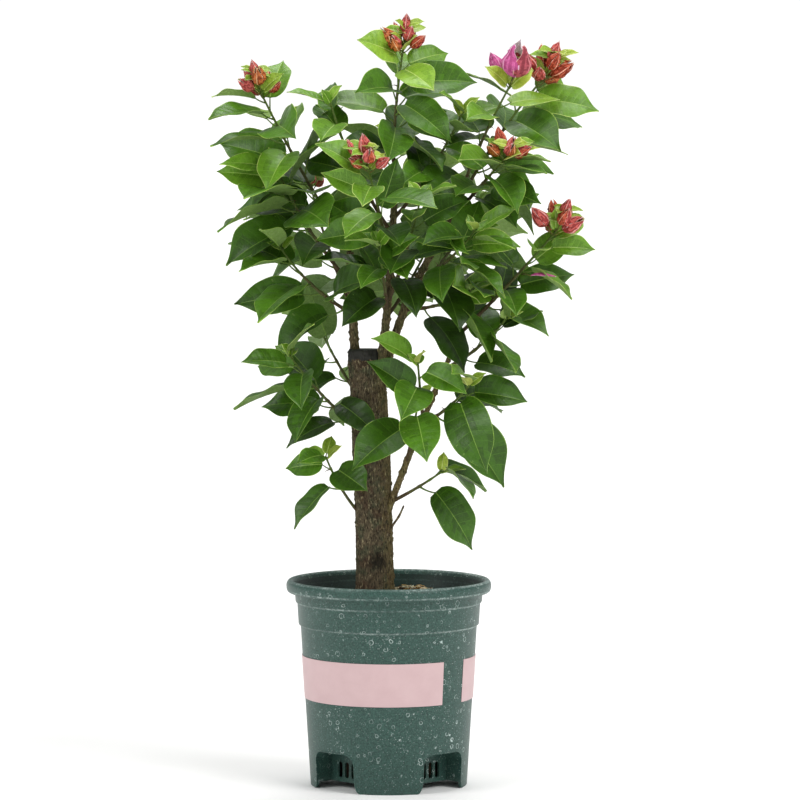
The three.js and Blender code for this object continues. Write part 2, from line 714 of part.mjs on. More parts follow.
// Twigs and blooms are placed first, so that leaves give way to them.
const shoots = SHOOTS.map((shoot) => {
  const carrier = carriers.get(shoot.from);
  const curve = shootCurve(shoot, carrier.curve);
  const twig = twigSolid(curve).subtract(carrier.grown);
  take(twig, shoot.name + " twig");
  return { ...shoot, curve, twig, first: firstShare(shoot, curve, carrier.radius) };
});
for (const shoot of shoots) {
  shoot.parts = [shoot.twig, ...shootBlooms(shoot)];
  for (const bloom of shoot.parts.slice(1)) take(bloom, shoot.name + " blooms");
}
for (const shoot of shoots) {
  shoot.parts.push(...shootLeaves(shoot));
  addNode(shoot.name, wasm.Manifold.union(shoot.parts), COLOURS.foliage);
}

export default plant;
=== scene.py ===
"""A potted bougainvillea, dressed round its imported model.

The plant is a small standard: a thick sawn-off stem in a round nursery pot, limbs that rise
from the top of the stem, one long low branch, and leafy shoots that end in young coral bracts.
Sizes in this file are in millimetres, with Z up and the front of the plant facing -Y, and
they become metres where a mesh is made.
"""

import logging
import math
from collections.abc import Callable, Sequence
from dataclasses import dataclass, field, replace
from enum import Enum

import bpy
import numpy as np
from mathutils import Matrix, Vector, noise
from mathutils.kdtree import KDTree


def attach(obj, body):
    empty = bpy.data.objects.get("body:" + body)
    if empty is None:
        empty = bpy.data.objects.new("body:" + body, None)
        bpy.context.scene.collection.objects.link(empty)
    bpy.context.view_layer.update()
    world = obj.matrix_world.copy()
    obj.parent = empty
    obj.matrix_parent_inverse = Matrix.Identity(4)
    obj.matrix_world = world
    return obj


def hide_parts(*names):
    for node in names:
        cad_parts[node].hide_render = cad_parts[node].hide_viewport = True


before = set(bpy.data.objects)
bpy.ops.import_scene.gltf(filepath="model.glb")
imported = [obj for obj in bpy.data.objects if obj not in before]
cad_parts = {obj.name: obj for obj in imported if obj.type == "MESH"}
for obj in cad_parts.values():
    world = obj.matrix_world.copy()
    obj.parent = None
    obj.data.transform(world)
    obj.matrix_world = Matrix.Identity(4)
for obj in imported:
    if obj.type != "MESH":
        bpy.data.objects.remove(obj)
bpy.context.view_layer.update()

LOG = logging.getLogger("bougainvillea")
MM = 0.001  # one millimetre in Blender's metres
GOLDEN_TURN = 137.5  # degrees from one growth of a shoot to the next

Array = np.ndarray
Colour = tuple[float, float, float, float]
Corner = tuple[float, float]
Face = tuple[int, ...]
Material = bpy.types.Material
Outputs = bpy.types.bpy_prop_collection
Piece = bpy.types.Object
Socket = bpy.types.NodeSocket
Tree = bpy.types.NodeTree


# --- small tools


def linear(colour: str) -> Colour:
    """Turns an sRGB hex colour into the linear colour that a shader takes.

    Args:
        colour: the colour, with its leading #.

    Returns:
        The linear colour, opaque.
    """
    shares = (int(colour[i : i + 2], 16) / 255 for i in (1, 3, 5))
    red, green, blue = (s / 12.92 if s <= 0.04045 else ((s + 0.055) / 1.055) ** 2.4 for s in shares)
    return (red, green, blue, 1.0)


def vec(x: float, y: float, z: float) -> Array:
    """Makes a point or a direction."""
    return np.array([x, y, z], dtype=float)


def unit(direction: Array) -> Array:
    """Scales a direction to length 1."""
    return direction / np.linalg.norm(direction)


def level_at(angle: float) -> Array:
    """Makes the level direction at an angle from +X, in radians."""
    return vec(math.cos(angle), math.sin(angle), 0)


def lerp(start: float, end: float, share: float) -> float:
    """Gives the value that lies at a share of the way from start to end."""
    return start + (end - start) * share


def smooth_step(value: Array | float, low: float, high: float) -> Array | float:
    """Rises smoothly from 0 at low to 1 at high."""
    share = np.clip((value - low) / (high - low), 0, 1)
    return share * share * (3 - 2 * share)


def noise_at(x: float, y: float, z: float) -> float:
    """Gives the smooth noise at a point, from about -1 to 1."""
    return noise.noise(Vector((x, y, z)))


def circle(radius: float, height: float, corners: int) -> list[tuple[float, float, float]]:
    """Lists the corners of a level ring round the Z axis, from +X against the clock."""
    angles = [math.tau * j / corners for j in range(corners)]
    return [(radius * math.cos(a), radius * math.sin(a), height) for a in angles]


class Stream:
    """A repeatable stream of numbers from 0 to 1."""

    def __init__(self, seed: int) -> None:
        """Starts the stream at a seed."""
        self.state = seed & 0xFFFFFFFF

    def next(self) -> float:
        """Gives the next number."""
        self.state = (self.state * 1664525 + 1013904223) & 0xFFFFFFFF
        return self.state / 4294967296

    def between(self, low: float, high: float) -> float:
        """Gives the next number, spread from low to high."""
        return lerp(low, high, self.next())


@dataclass(frozen=True)
class Curve:
    """A quadratic curve from foot through the pull of elbow to tip."""

    foot: Array
    elbow: Array
    tip: Array

    def point(self, share: float) -> Array:
        """Gives the point at a share of the curve."""
        rest = 1 - share
        return rest * rest * self.foot + 2 * rest * share * self.elbow + share * share * self.tip

    def path(self, steps: int) -> Array:
        """Lists this many points, evenly from foot to tip."""
        return np.array([self.point(s) for s in np.linspace(0, 1, steps)])

    def tangent(self, share: float) -> Array:
        """Gives the direction in which the curve runs.

        Args:
            share: the share of the curve.

        Returns:
            The direction.
        """
        step = 0.0001
        before, after = max(0.0, share - step), min(1.0, share + step)
        return unit(self.point(after) - self.point(before))

    def length(self) -> float:
        """Measures the curve along short chords."""
        points = np.array([self.point(i / 200) for i in range(201)])
        return float(np.linalg.norm(np.diff(points, axis=0), axis=1).sum())


class Skin:
    """Gathers the points and faces of one joined piece, with a finish for each face."""

    def __init__(self) -> None:
        """Starts with nothing gathered."""
        self.points: list[Array] = []
        self.faces: list[Face] = []
        self.finishes: list[int] = []
        self.count = 0

    def add(self, points: Array, faces: Sequence[Face], finishes: Sequence[int] | int = 0) -> None:
        """Adds a closed form.

        Args:
            points: its points, one row each, in millimetres.
            faces: its faces as numbers of those points.
            finishes: the finish of each face, or one for them all.
        """
        self.points.append(np.asarray(points, dtype=float))
        self.faces.extend(tuple(i + self.count for i in face) for face in faces)
        self.finishes.extend([finishes] * len(faces) if isinstance(finishes, int) else finishes)
        self.count += len(points)

    def triangles(self) -> int:
        """Counts the triangles that the faces come to."""
        return sum(len(face) - 2 for face in self.faces)

    def piece(self, name: str, materials: Sequence[Material]) -> Piece:
        """Makes the Blender object.

        Args:
            name: the piece's name.
            materials: the material of each finish, in order.

        Returns:
            The new object, riding on the plant's one body.
        """
        piece = bare_object(name, np.vstack(self.points), self.faces)
        for material in materials:
            piece.data.materials.append(material)
        piece.data.polygons.foreach_set("material_index", self.finishes)
        piece.data.polygons.foreach_set("use_smooth", [True] * len(self.faces))
        piece.data.update()
        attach(piece, "root")
        return piece


def bare_object(name: str, points: Array, faces: Sequence[Face]) -> Piece:
    """Makes a linked object, not yet on any body.

    Args:
        name: its name.
        points: its points, one row each, in millimetres.
        faces: its faces as numbers of those points.

    Returns:
        The object, in metres.
    """
    mesh = bpy.data.meshes.new(name)
    mesh.from_pydata((points * MM).tolist(), [], faces)
    mesh.update()
    thing = bpy.data.objects.new(name, mesh)
    bpy.context.scene.collection.objects.link(thing)
    return thing


def ring_faces(rings: int, corners: int) -> list[Face]:
    """Lists the faces of a tube, without its ends.

    Args:
        rings: number of rings along it.
        corners: number of corners of each ring.

    Returns:
        Its faces, corner after corner and ring after ring.
    """
    sides = [(i * corners, j, (j + 1) % corners) for i in range(rings - 1) for j in range(corners)]
    return [(ring + j, ring + k, ring + corners + k, ring + corners + j) for ring, j, k in sides]


def tube(
    path: Array,
    radii: Sequence[float],
    corners: int,
    relief: Callable[[Array], float] | None = None,
) -> tuple[Array, list[Face]]:
    """Builds a closed round tube along a path.

    Args:
        path: points of its axis, one row each.
        radii: its radius at each of them.
        corners: number of corners round it.
        relief: how far the surface stands out at a point.

    Returns:
        The points and the faces. The last two faces are its ends.
    """
    along = np.gradient(path, axis=0)
    along /= np.linalg.norm(along, axis=1)[:, None]
    side = unit(np.cross(along[0], vec(0.31, 0.95, 0.11)))  # any direction that no path runs in
    points = []
    for centre, direction, radius in zip(path, along, radii):
        side = unit(side - direction * side.dot(direction))
        other = np.cross(direction, side)
        for j in range(corners):
            angle = math.tau * j / corners
            spoke = side * math.cos(angle) + other * math.sin(angle)
            place = centre + spoke * radius
            points.append(place + spoke * relief(place) if relief else place)
    faces = ring_faces(len(path), corners)
    faces.append(tuple(reversed(range(corners))))
    faces.append(tuple(range((len(path) - 1) * corners, len(path) * corners)))
    return np.array(points), faces


# --- finishes


def pitch(size: float) -> float:
    """Gives the scale of a pattern that repeats in this many millimetres."""
    return 1 / (size * MM)


def shaded(colour: str, share: float) -> Colour:
    """Gives a colour made darker or lighter, where a share of 1 leaves it as it is."""
    return (*(min(1.0, share * c) for c in linear(colour)[:3]), 1.0)


def add_node(
    tree: Tree,
    kind: str,
    settings: dict[str | int, object] | None = None,
    links: dict[str | int, Socket] | None = None,
) -> Outputs:
    """Adds one node.

    Args:
        tree: the node tree that takes it.
        kind: Blender's name for its type, without the ShaderNode that it begins with.
        settings: values of its input sockets, or of its own properties, by name or number.
        links: the sockets that feed its inputs.

    Returns:
        Its output sockets.
    """
    node = tree.nodes.new("ShaderNode" + kind)
    for key, value in (settings or {}).items():
        if isinstance(key, str) and hasattr(node, key):
            setattr(node, key, value)
    for key, value in (settings or {}).items():
        if isinstance(key, int) or not hasattr(node, key):
            node.inputs[key].default_value = value
    for key, source in (links or {}).items():
        tree.links.new(source, node.inputs[key])
    return node.outputs


def new_material(name: str, sockets: dict[str, object]) -> Material:
    """Starts a material.

    Args:
        name: its name.
        sockets: values that are the same all over, set on the shader's own sockets.

    Returns:
        The material.
    """
    material = bpy.data.materials.new(name)
    material.use_nodes = True
    for socket, value in sockets.items():
        shader_of(material).inputs[socket].default_value = value
    return material


def shader_of(material: Material) -> bpy.types.Node:
    """Finds a material's shader."""
    return next(n for n in material.node_tree.nodes if n.type == "BSDF_PRINCIPLED")


def dress(
    material: Material,
    colour: Socket,
    rough: Socket | None = None,
    height: Socket | None = None,
    strength: float = 1.0,
    depth: float = 1.0,
) -> Material:
    """Gives a material its colour, its roughness and its relief.

    Args:
        material: the material.
        colour: the socket of its colour.
        rough: the socket of its roughness, where that varies.
        height: the socket of its relief, where it has one.
        strength: how plainly the relief shows.
        depth: how deep it is, in millimetres.

    Returns:
        The same material.
    """
    tree = material.node_tree
    feeds = {"Base Color": colour, "Roughness": rough}
    if height is not None:
        size = {"Strength": strength, "Distance": depth * MM}
        feeds["Normal"] = add_node(tree, "Bump", size, {"Height": height})["Normal"]
    for name, socket in feeds.items():
        if socket is not None:
            tree.links.new(socket, shader_of(material).inputs[name])
    return material


@dataclass(frozen=True)
class CloudedFinish:
    """Grown fibre, such as a twig, a stalk, a thorn or a chip of coir husk.

    The eye sees one dull colour, clouded and roughened by the fibres.
    """

    name: str
    colour: str
    roughness: float = 0.8
    ior: float = 1.45
    shine: float = 0.3
    cloud_size: float = 1.6
    cloud_depth: float = 0.28
    relief: float = 0.25

    def material(self) -> Material:
        """Makes the material."""
        material, cloud, rough, body = self._clouded()
        return dress(material, body, rough, cloud, 0.8, self.relief)

    def _clouded(self) -> tuple[Material, Socket, Socket, Socket]:
        """Starts the material with its cloud.

        Returns:
            The material, and the sockets of the cloud, of the roughness and of the colour.
        """
        material = new_material(self.name, {"IOR": self.ior, "Specular IOR Level": self.shine})
        tree = material.node_tree
        place = add_node(tree, "TexCoord")["Object"]
        fibres = {"Scale": pitch(self.cloud_size), "Detail": 4.0, "Roughness": 0.6}
        cloud = add_node(tree, "TexNoise", fibres, {"Vector": place})["Fac"]
        cloud = add_node(tree, "MapRange", {"From Min": 0.32, "From Max": 0.68}, {"Value": cloud})[0]
        worn = {"To Min": self.roughness + 0.06, "To Max": self.roughness - 0.06}
        rough = add_node(tree, "MapRange", worn, {"Value": cloud})[0]
        low, high = (shaded(self.colour, 1 + way * self.cloud_depth) for way in (-1, 1))
        body = add_node(tree, "Mix", {"data_type": "RGBA", 6: low, 7: high}, {0: cloud})[2]
        return material, cloud, rough, body


@dataclass(frozen=True)
class NettedFinish(CloudedFinish):
    """The skin of a leaf or a bract.

    The eye sees one colour, faintly clouded, with the fine net of the smallest veins in it.
    """

    net_colour: str = "#ffffff"
    net_pitch: float = 2.0  # coarser than the finest veins, so that the net shows at all
    net_width: float = 0.1  # as a share of the pitch
    net_share: float = 0.3

    def material(self) -> Material:
        """Makes the material.

        Returns:
            The material.
        """
        material, _, rough, body = self._clouded()
        tree = material.node_tree
        place = add_node(tree, "TexCoord")["Object"]
        net = {"feature": "DISTANCE_TO_EDGE", "Scale": pitch(self.net_pitch)}
        cells = add_node(tree, "TexVoronoi", net, {"Vector": place})["Distance"]
        vein = {"From Max": self.net_width, "To Min": self.net_share, "To Max": 0.0}
        line = add_node(tree, "MapRange", vein, {"Value": cells})[0]
        over = {"data_type": "RGBA", 7: linear(self.net_colour)}
        body = add_node(tree, "Mix", over, {0: line, 6: body})[2]
        return dress(material, body, rough, cells, 0.7, self.relief)


@dataclass(frozen=True)
class MouldedPolypropylene:
    """Nursery-pot polypropylene, injection moulded and left satin.

    The eye sees a dull blue-green with a fine mottle, and over it the chalky rings, specks and
    tide lines that hard water leaves when it dries. Two pale lines along the rim's lip, drawn
    with the tide lines, are painted highlights.
    """

    name: str = "moulded polypropylene"
    colour: str = "#385a51"
    mottle_colour: str = "#203731"
    chalk_and_highlight: str = "#cbdad6"
    roughness: float = 0.42
    chalk_and_highlight_roughness: float = 0.85
    mottle_size: float = 1.3
    ring_pitch: float = 5.8
    ring_shake: float = 2.2  # how far a ring strays from round
    shake_size: float = 3.0
    speck_pitch: float = 1.5
    patch_size: float = 30.0  # of the patches that watering marks more or less
    line_tear_size: float = 2.6
    tide_width: float = 1.1
    tide_and_highlight_heights: tuple[float, ...] = (133.4, 152.3, 162.4, 170.3)  # chalk tide lines at the two steps; the two at the lip's lower edge and top are painted highlights

    def material(self) -> Material:
        """Makes the material.

        Returns:
            The material.
        """
        material = new_material(self.name, {"IOR": 1.49, "Specular IOR Level": 0.4})
        tree = material.node_tree
        place = add_node(tree, "TexCoord")["Object"]
        aside, _, height = add_node(tree, "SeparateXYZ", {}, {0: place})
        grit = {"Scale": pitch(self.mottle_size), "Detail": 4.0, "Roughness": 0.7}
        mottle = add_node(tree, "TexNoise", grit, {"Vector": place})["Fac"]
        grain = add_node(tree, "MapRange", {"From Min": 0.34, "From Max": 0.62}, {"Value": mottle})[0]
        tones = {"data_type": "RGBA", 6: linear(self.mottle_colour), 7: linear(self.colour)}
        body = add_node(tree, "Mix", tones, {0: grain})[2]
        chalk_and_highlight = self._rings(tree, place)
        for layer in (self._specks(tree, place), self._tides_and_highlights(tree, place, height)):
            chalk_and_highlight = add_node(tree, "Math", {"operation": "MAXIMUM"}, {0: chalk_and_highlight, 1: layer})[0]
        wet = self._wet(tree, place, aside)
        chalk_and_highlight = add_node(tree, "Math", {"operation": "MULTIPLY"}, {0: chalk_and_highlight, 1: wet})[0]
        over = {"data_type": "RGBA", 7: linear(self.chalk_and_highlight)}
        colour = add_node(tree, "Mix", over, {0: chalk_and_highlight, 6: body})[2]
        dull = {"To Min": self.roughness, "To Max": self.chalk_and_highlight_roughness}
        rough = add_node(tree, "MapRange", dull, {"Value": chalk_and_highlight})[0]
        return dress(material, colour, rough, mottle, 0.3, 0.3)

    def _wet(self, tree: Tree, place: Socket, aside: Socket) -> Socket:
        """Says how much watering has marked each side of the pot, most of all the right.

        Args:
            tree: the material's node tree.
            place: the socket of the position on the pot.
            aside: the socket of the distance to the right.

        Returns:
            The socket that runs from a little to 1.
        """
        broad = {"Scale": pitch(self.patch_size), "Detail": 2.0}
        patches = add_node(tree, "TexNoise", broad, {"Vector": place})["Fac"]
        span = {"From Min": 0.42, "From Max": 0.68, "To Min": 0.26, "To Max": 0.76}
        patches = add_node(tree, "MapRange", span, {"Value": patches})[0]
        span = {"From Min": 10 * MM, "From Max": 70 * MM, "To Max": 0.3}
        right = add_node(tree, "MapRange", span, {"Value": aside})[0]
        return add_node(tree, "Math", {"operation": "ADD", "use_clamp": True}, {0: patches, 1: right})[0]

    def _rings(self, tree: Tree, place: Socket) -> Socket:
        """Draws the thin broken rings where drops dried.

        Args:
            tree: the material's node tree.
            place: the socket of the position on the pot.

        Returns:
            The socket that is high on a ring.
        """
        uneven = {"Scale": pitch(self.shake_size), "Detail": 2.0}
        jitter = add_node(tree, "TexNoise", uneven, {"Vector": place})
        shake = {"operation": "MULTIPLY_ADD", 1: (self.ring_shake * MM,) * 3}
        shaken = add_node(tree, "VectorMath", shake, {0: jitter["Color"], 2: place})[0]
        cells = add_node(tree, "TexVoronoi", {"Scale": pitch(self.ring_pitch)}, {"Vector": shaken})
        number, size, _ = add_node(tree, "SeparateColor", {}, {0: cells["Color"]})
        radius = add_node(tree, "MapRange", {"To Min": 0.12, "To Max": 0.38}, {"Value": size})[0]
        off = add_node(tree, "Math", {"operation": "SUBTRACT"}, {0: cells["Distance"], 1: radius})[0]
        off = add_node(tree, "Math", {"operation": "ABSOLUTE"}, {0: off})[0]
        span = {"From Min": 0.01, "From Max": 0.05, "To Min": 1.0, "To Max": 0.0}
        line = add_node(tree, "MapRange", span, {"Value": off})[0]
        span = {"From Min": 0.36, "From Max": 0.5}
        broken = add_node(tree, "MapRange", span, {"Value": jitter["Fac"]})[0]
        kept = add_node(tree, "Math", {"operation": "GREATER_THAN", 1: 0.5}, {0: number})[0]
        line = add_node(tree, "Math", {"operation": "MULTIPLY"}, {0: line, 1: kept})[0]
        return add_node(tree, "Math", {"operation": "MULTIPLY"}, {0: line, 1: broken})[0]

    def _specks(self, tree: Tree, place: Socket) -> Socket:
        """Draws the small chalky specks.

        Args:
            tree: the material's node tree.
            place: the socket of the position on the pot.

        Returns:
            The socket that is high on a speck.
        """
        cells = add_node(tree, "TexVoronoi", {"Scale": pitch(self.speck_pitch)}, {"Vector": place})
        number = add_node(tree, "SeparateColor", {}, {0: cells["Color"]})[2]
        span = {"From Min": 0.1, "From Max": 0.36, "To Min": 0.8, "To Max": 0.0}
        dot = add_node(tree, "MapRange", span, {"Value": cells["Distance"]})[0]
        weight = add_node(tree, "MapRange", {"From Min": 0.45, "From Max": 1.0}, {"Value": number})[0]
        return add_node(tree, "Math", {"operation": "MULTIPLY"}, {0: dot, 1: weight})[0]

    def _tides_and_highlights(self, tree: Tree, place: Socket, height: Socket) -> Socket:
        """Draws the ragged chalk tide lines at the steps of the collar, and the painted highlights along the
        rim's lip.

        Args:
            tree: the material's node tree.
            place: the socket of the position on the pot.
            height: the socket of the height.

        Returns:
            The socket that is high on a line.
        """
        torn = {"Scale": pitch(self.line_tear_size), "Detail": 4.0, "Roughness": 0.7}
        ragged = add_node(tree, "TexNoise", torn, {"Vector": place})["Fac"]
        span = {"From Min": 0.42, "From Max": 0.66, "To Min": 0.12, "To Max": 0.9}
        ragged = add_node(tree, "MapRange", span, {"Value": ragged})[0]
        near = None
        # Painted highlights: the two heights at the rim's lip draw pale lines where its edges catch the
        # light; the others are chalk tide lines.
        for level in self.tide_and_highlight_heights:
            off = add_node(tree, "Math", {"operation": "SUBTRACT", 1: level * MM}, {0: height})[0]
            off = add_node(tree, "Math", {"operation": "ABSOLUTE"}, {0: off})[0]
            span = {"From Min": 0.3 * MM, "From Max": self.tide_width * MM, "To Min": 1.0, "To Max": 0.0}
            line = add_node(tree, "MapRange", span, {"Value": off})[0]
            if near is not None:
                line = add_node(tree, "Math", {"operation": "MAXIMUM"}, {0: near, 1: line})[0]
            near = line
        return add_node(tree, "Math", {"operation": "MULTIPLY"}, {0: near, 1: ragged})[0]


@dataclass(frozen=True)
class LabelFilm:
    """Self-adhesive polyester film, calendered and left bare.

    The eye sees an even pale rose with a faint cloud in it and a soft satin sheen.
    """

    colour: str = "#d6babb"
    cloud_colour: str = "#c5a5a7"
    roughness: float = 0.5
    cloud_size: float = 18.0

    def material(self) -> Material:
        """Makes the material.

        Returns:
            The material.
        """
        material = new_material("label film", {"Roughness": self.roughness, "IOR": 1.5})
        tree = material.node_tree
        place = add_node(tree, "TexCoord")["Object"]
        soft = {"Scale": pitch(self.cloud_size), "Detail": 5.0, "Roughness": 0.65}
        cloud = add_node(tree, "TexNoise", soft, {"Vector": place})["Fac"]
        tones = {"data_type": "RGBA", 6: linear(self.cloud_colour), 7: linear(self.colour)}
        return dress(material, add_node(tree, "Mix", tones, {0: cloud})[2])


@dataclass(frozen=True)
class Bark:
    """Old bougainvillea bark, grown rough and weathered.

    The eye sees grey-brown plates with dark furrows that run up the stem, reddish and mossy
    patches, pale golden flecks where the outer cork has rubbed away, and on the old stem one
    blackened patch. Faces that turn to the right are painted lighter, as painted light.
    """

    name: str = "weathered bark"
    plate: str = "#665b48"
    red: str = "#5b4b3b"
    moss: str = "#565642"
    furrow: str = "#1d1913"
    fleck: str = "#b8aa85"
    lit_side: str = "#83754c"  # painted light: the lighter colour that faces turned to the right take
    black: str = "#1d1c17"
    furrow_width: float = 1.2
    fleck_size: float = 1.4
    red_size: float = 14.0
    moss_size: float = 9.0
    stretch: float = 0.3  # furrows change this much more slowly up the stem than round it
    patch: tuple[float, float, float] | None = None  # middle of the blackened patch

    def material(self) -> Material:
        """Makes the material.

        Returns:
            The material.
        """
        material = new_material(self.name, {"Roughness": 0.9, "IOR": 1.4, "Specular IOR Level": 0.2})
        tree = material.node_tree
        place = add_node(tree, "TexCoord")["Object"]
        drawn = add_node(tree, "Mapping", {"Scale": (1.0, 1.0, self.stretch)}, {"Vector": place})[0]
        deep = {"Scale": pitch(self.furrow_width), "Detail": 6.0, "Roughness": 0.7}
        furrows = add_node(tree, "TexNoise", deep, {"Vector": drawn})["Fac"]
        # Painted light: faces that turn to the right are mixed towards a lighter colour.
        normal = add_node(tree, "NewGeometry")["Normal"]
        aside = add_node(tree, "SeparateXYZ", {}, {0: normal})[0]
        span = {"From Min": 0.35, "From Max": 1.0, "To Max": 0.75}
        aside = add_node(tree, "MapRange", span, {"Value": aside})[0]
        lit_side = {"data_type": "RGBA", 7: linear(self.lit_side)}
        body = add_node(tree, "Mix", lit_side, {0: aside, 6: self._patches(tree, place)})[2]
        depth = add_node(tree, "MapRange", {"From Min": 0.34, "From Max": 0.56}, {"Value": furrows})[0]
        dark = {"data_type": "RGBA", 6: linear(self.furrow)}
        body = add_node(tree, "Mix", dark, {0: depth, 7: body})[2]
        rubbed = {"Scale": pitch(self.fleck_size), "Detail": 6.0}
        cells = add_node(tree, "TexNoise", rubbed, {"Vector": drawn})["Fac"]
        span = {"From Min": 0.58, "From Max": 0.74, "To Max": 0.8}
        flecks = add_node(tree, "MapRange", span, {"Value": cells})[0]
        pale = {"data_type": "RGBA", 7: linear(self.fleck)}
        body = add_node(tree, "Mix", pale, {0: flecks, 6: body})[2]
        if self.patch:
            body = self._blackened(tree, place, body)
        return dress(material, body, None, furrows, 0.9, 0.8)

    def _patches(self, tree: Tree, place: Socket) -> Socket:
        """Mixes the broad plain, reddish and mossy patches.

        Args:
            tree: the material's node tree.
            place: the socket of the position on the stem.

        Returns:
            The socket of the colour.
        """
        body = None
        for colour, size, low in ((self.red, self.red_size, 0.48), (self.moss, self.moss_size, 0.5)):
            broad = {"Scale": pitch(size), "Detail": 4.0}
            share = add_node(tree, "TexNoise", broad, {"Vector": place})["Fac"]
            span = {"From Min": low, "From Max": low + 0.14}
            share = add_node(tree, "MapRange", span, {"Value": share})[0]
            tones = {"data_type": "RGBA", 6: linear(self.plate), 7: linear(colour)}
            links = {0: share} if body is None else {0: share, 6: body}
            body = add_node(tree, "Mix", tones, links)[2]
        return body

    def _blackened(self, tree: Tree, place: Socket, body: Socket) -> Socket:
        """Darkens the bark round the blackened patch, raggedly.

        Args:
            tree: the material's node tree.
            place: the socket of the position on the stem.
            body: the socket of the colour so far.

        Returns:
            The socket of the darkened colour.
        """
        middle = {"operation": "DISTANCE", 1: tuple(c * MM for c in self.patch)}
        away = add_node(tree, "VectorMath", middle, {0: place})["Value"]
        ragged = add_node(tree, "TexNoise", {"Scale": pitch(3), "Detail": 4.0}, {"Vector": place})["Fac"]
        stray = {"operation": "MULTIPLY_ADD", 1: 9 * MM}
        away = add_node(tree, "Math", stray, {0: ragged, 2: away})[0]
        span = {"From Min": 8 * MM, "From Max": 15 * MM, "To Min": 0.85, "To Max": 0.0}
        share = add_node(tree, "MapRange", span, {"Value": away})[0]
        over = {"data_type": "RGBA", 7: linear(self.black)}
        return add_node(tree, "Mix", over, {0: share, 6: body})[2]


@dataclass(frozen=True)
class WoundSealant:
    """Bituminous pruning sealant, brushed on the sawn top of the stem.

    The eye sees a dull black crust with brush marks.
    """

    colour: str = "#1a1a17"
    worn: str = "#2f2d27"
    mark_size: float = 2.5

    def material(self) -> Material:
        """Makes the material.

        Returns:
            The material.
        """
        material = new_material("wound sealant", {"Roughness": 0.72, "IOR": 1.5})
        tree = material.node_tree
        place = add_node(tree, "TexCoord")["Object"]
        brushed = {"Scale": pitch(self.mark_size), "Detail": 5.0}
        marks = add_node(tree, "TexNoise", brushed, {"Vector": place})["Fac"]
        tones = {"data_type": "RGBA", 6: linear(self.colour), 7: linear(self.worn)}
        colour = add_node(tree, "Mix", tones, {0: marks})[2]
        return dress(material, colour, None, marks, 0.6, 0.5)


@dataclass(frozen=True)
class PottingMix:
    """Peat and composted bark, damp and crumbly.

    The eye sees a very dark brown with lighter crumbs.
    """

    colour: str = "#33271b"
    crumb: str = "#6b5235"
    crumb_size: float = 2.2

    def material(self) -> Material:
        """Makes the material.

        Returns:
            The material.
        """
        material = new_material("potting mix", {"Roughness": 0.95, "IOR": 1.4})
        tree = material.node_tree
        place = add_node(tree, "TexCoord")["Object"]
        coarse = {"Scale": pitch(self.crumb_size), "Detail": 5.0, "Roughness": 0.7}
        crumbs = add_node(tree, "TexNoise", coarse, {"Vector": place})["Fac"]
        share = add_node(tree, "MapRange", {"From Min": 0.45, "From Max": 0.7}, {"Value": crumbs})[0]
        tones = {"data_type": "RGBA", 6: linear(self.colour), 7: linear(self.crumb)}
        colour = add_node(tree, "Mix", tones, {0: share})[2]
        return dress(material, colour, None, crumbs, 1.0, 1.2)


COIR_FINISHES = (
    CloudedFinish("coir chip, pale", "#fff2d0", 0.9, shine=0.2, cloud_depth=0.16),
    CloudedFinish("coir chip, golden", "#e2b878", 0.9, shine=0.2),
    CloudedFinish("coir chip, brown", "#77522b", 0.9, shine=0.2),
    CloudedFinish("coir chip, damp", "#3a281a", 0.9, shine=0.2),
)


class LeafPart(Enum):
    """The parts of a leaf that have their own colour."""

    BLADE = "blade"
    # darker patches: partly a random mottle, partly painted shade along the midrib
    MOTTLE_AND_SHADE = "deep"
    VEIN = "vein"
    MIDRIB = "midrib"
    # the pale margin, partly a painted highlight along the leaf's edge
    MARGIN = "margin"
    UNDERSIDE = "underside"


@dataclass(frozen=True)
class LeafTint:
    """Living leaf, smooth and waxed above and paler and duller below.

    The eye sees a soft shine over green and a pale midrib. Darker patches along the midrib are
    partly a random mottle and partly painted shade, and the thin yellowish margin is partly a
    painted highlight along the edge.
    """

    name: str
    blade: str
    # the darker patches: partly a random mottle, partly painted shade along the midrib
    deep: str
    vein: str
    midrib: str
    # the pale margin, partly a painted highlight along the leaf's edge
    margin: str
    underside: str

    def finish(self, part: LeafPart) -> NettedFinish:
        """Gives the finish of one part of the leaf.

        Args:
            part: the part.

        Returns:
            Its finish.
        """
        dull = part is LeafPart.UNDERSIDE
        return NettedFinish(
            f"{self.name}, {part.value}",
            getattr(self, part.value),
            roughness=0.62 if dull else 0.37,
            shine=0.2 if dull else 0.43,
            cloud_size=2.4,
            cloud_depth=0.16,
            relief=0.22,
            net_colour=self.vein,
            net_share=0.5,
        )


MATURE = (
    LeafTint("shaded leaf", "#2a4908", "#223c05", "#335313", "#678939", "#64852f", "#5f7c40"),
    LeafTint("mature leaf", "#3a620f", "#2f500b", "#446c1a", "#7ea044", "#86a843", "#6a8646"),
    LeafTint("full green leaf", "#4c7a18", "#3f670f", "#588424", "#8fb153", "#a2c250", "#748f4c"),
)
FRESH = (
    LeafTint("fresh leaf", "#669423", "#568119", "#74a034", "#a8c764", "#c8dc76", "#829d56"),
    LeafTint("light leaf", "#87b036", "#759f29", "#93bb45", "#c1d776", "#dbe994", "#93ac60"),
)
YOUNG = (
    LeafTint("young leaf", "#92b13a", "#7d9b2e", "#a4c248", "#c8dc7c", "#dceb97", "#a3b857"),
    LeafTint("budding leaf", "#aac045", "#95ae38", "#b9cb58", "#d6e188", "#e8e7a0", "#b0bb60"),
)
TINTS = MATURE + FRESH + YOUNG


class BractPart(Enum):
    """The parts of a bract that have their own colour."""

    # the folds, painted darker as painted shade
    SHADED_VALLEY = "valley"
    # the ribs, painted lighter as painted highlight
    LIT_RIDGE = "ridge"
    KEEL = "keel"
    EDGE = "edge"
    LINING = "lining"


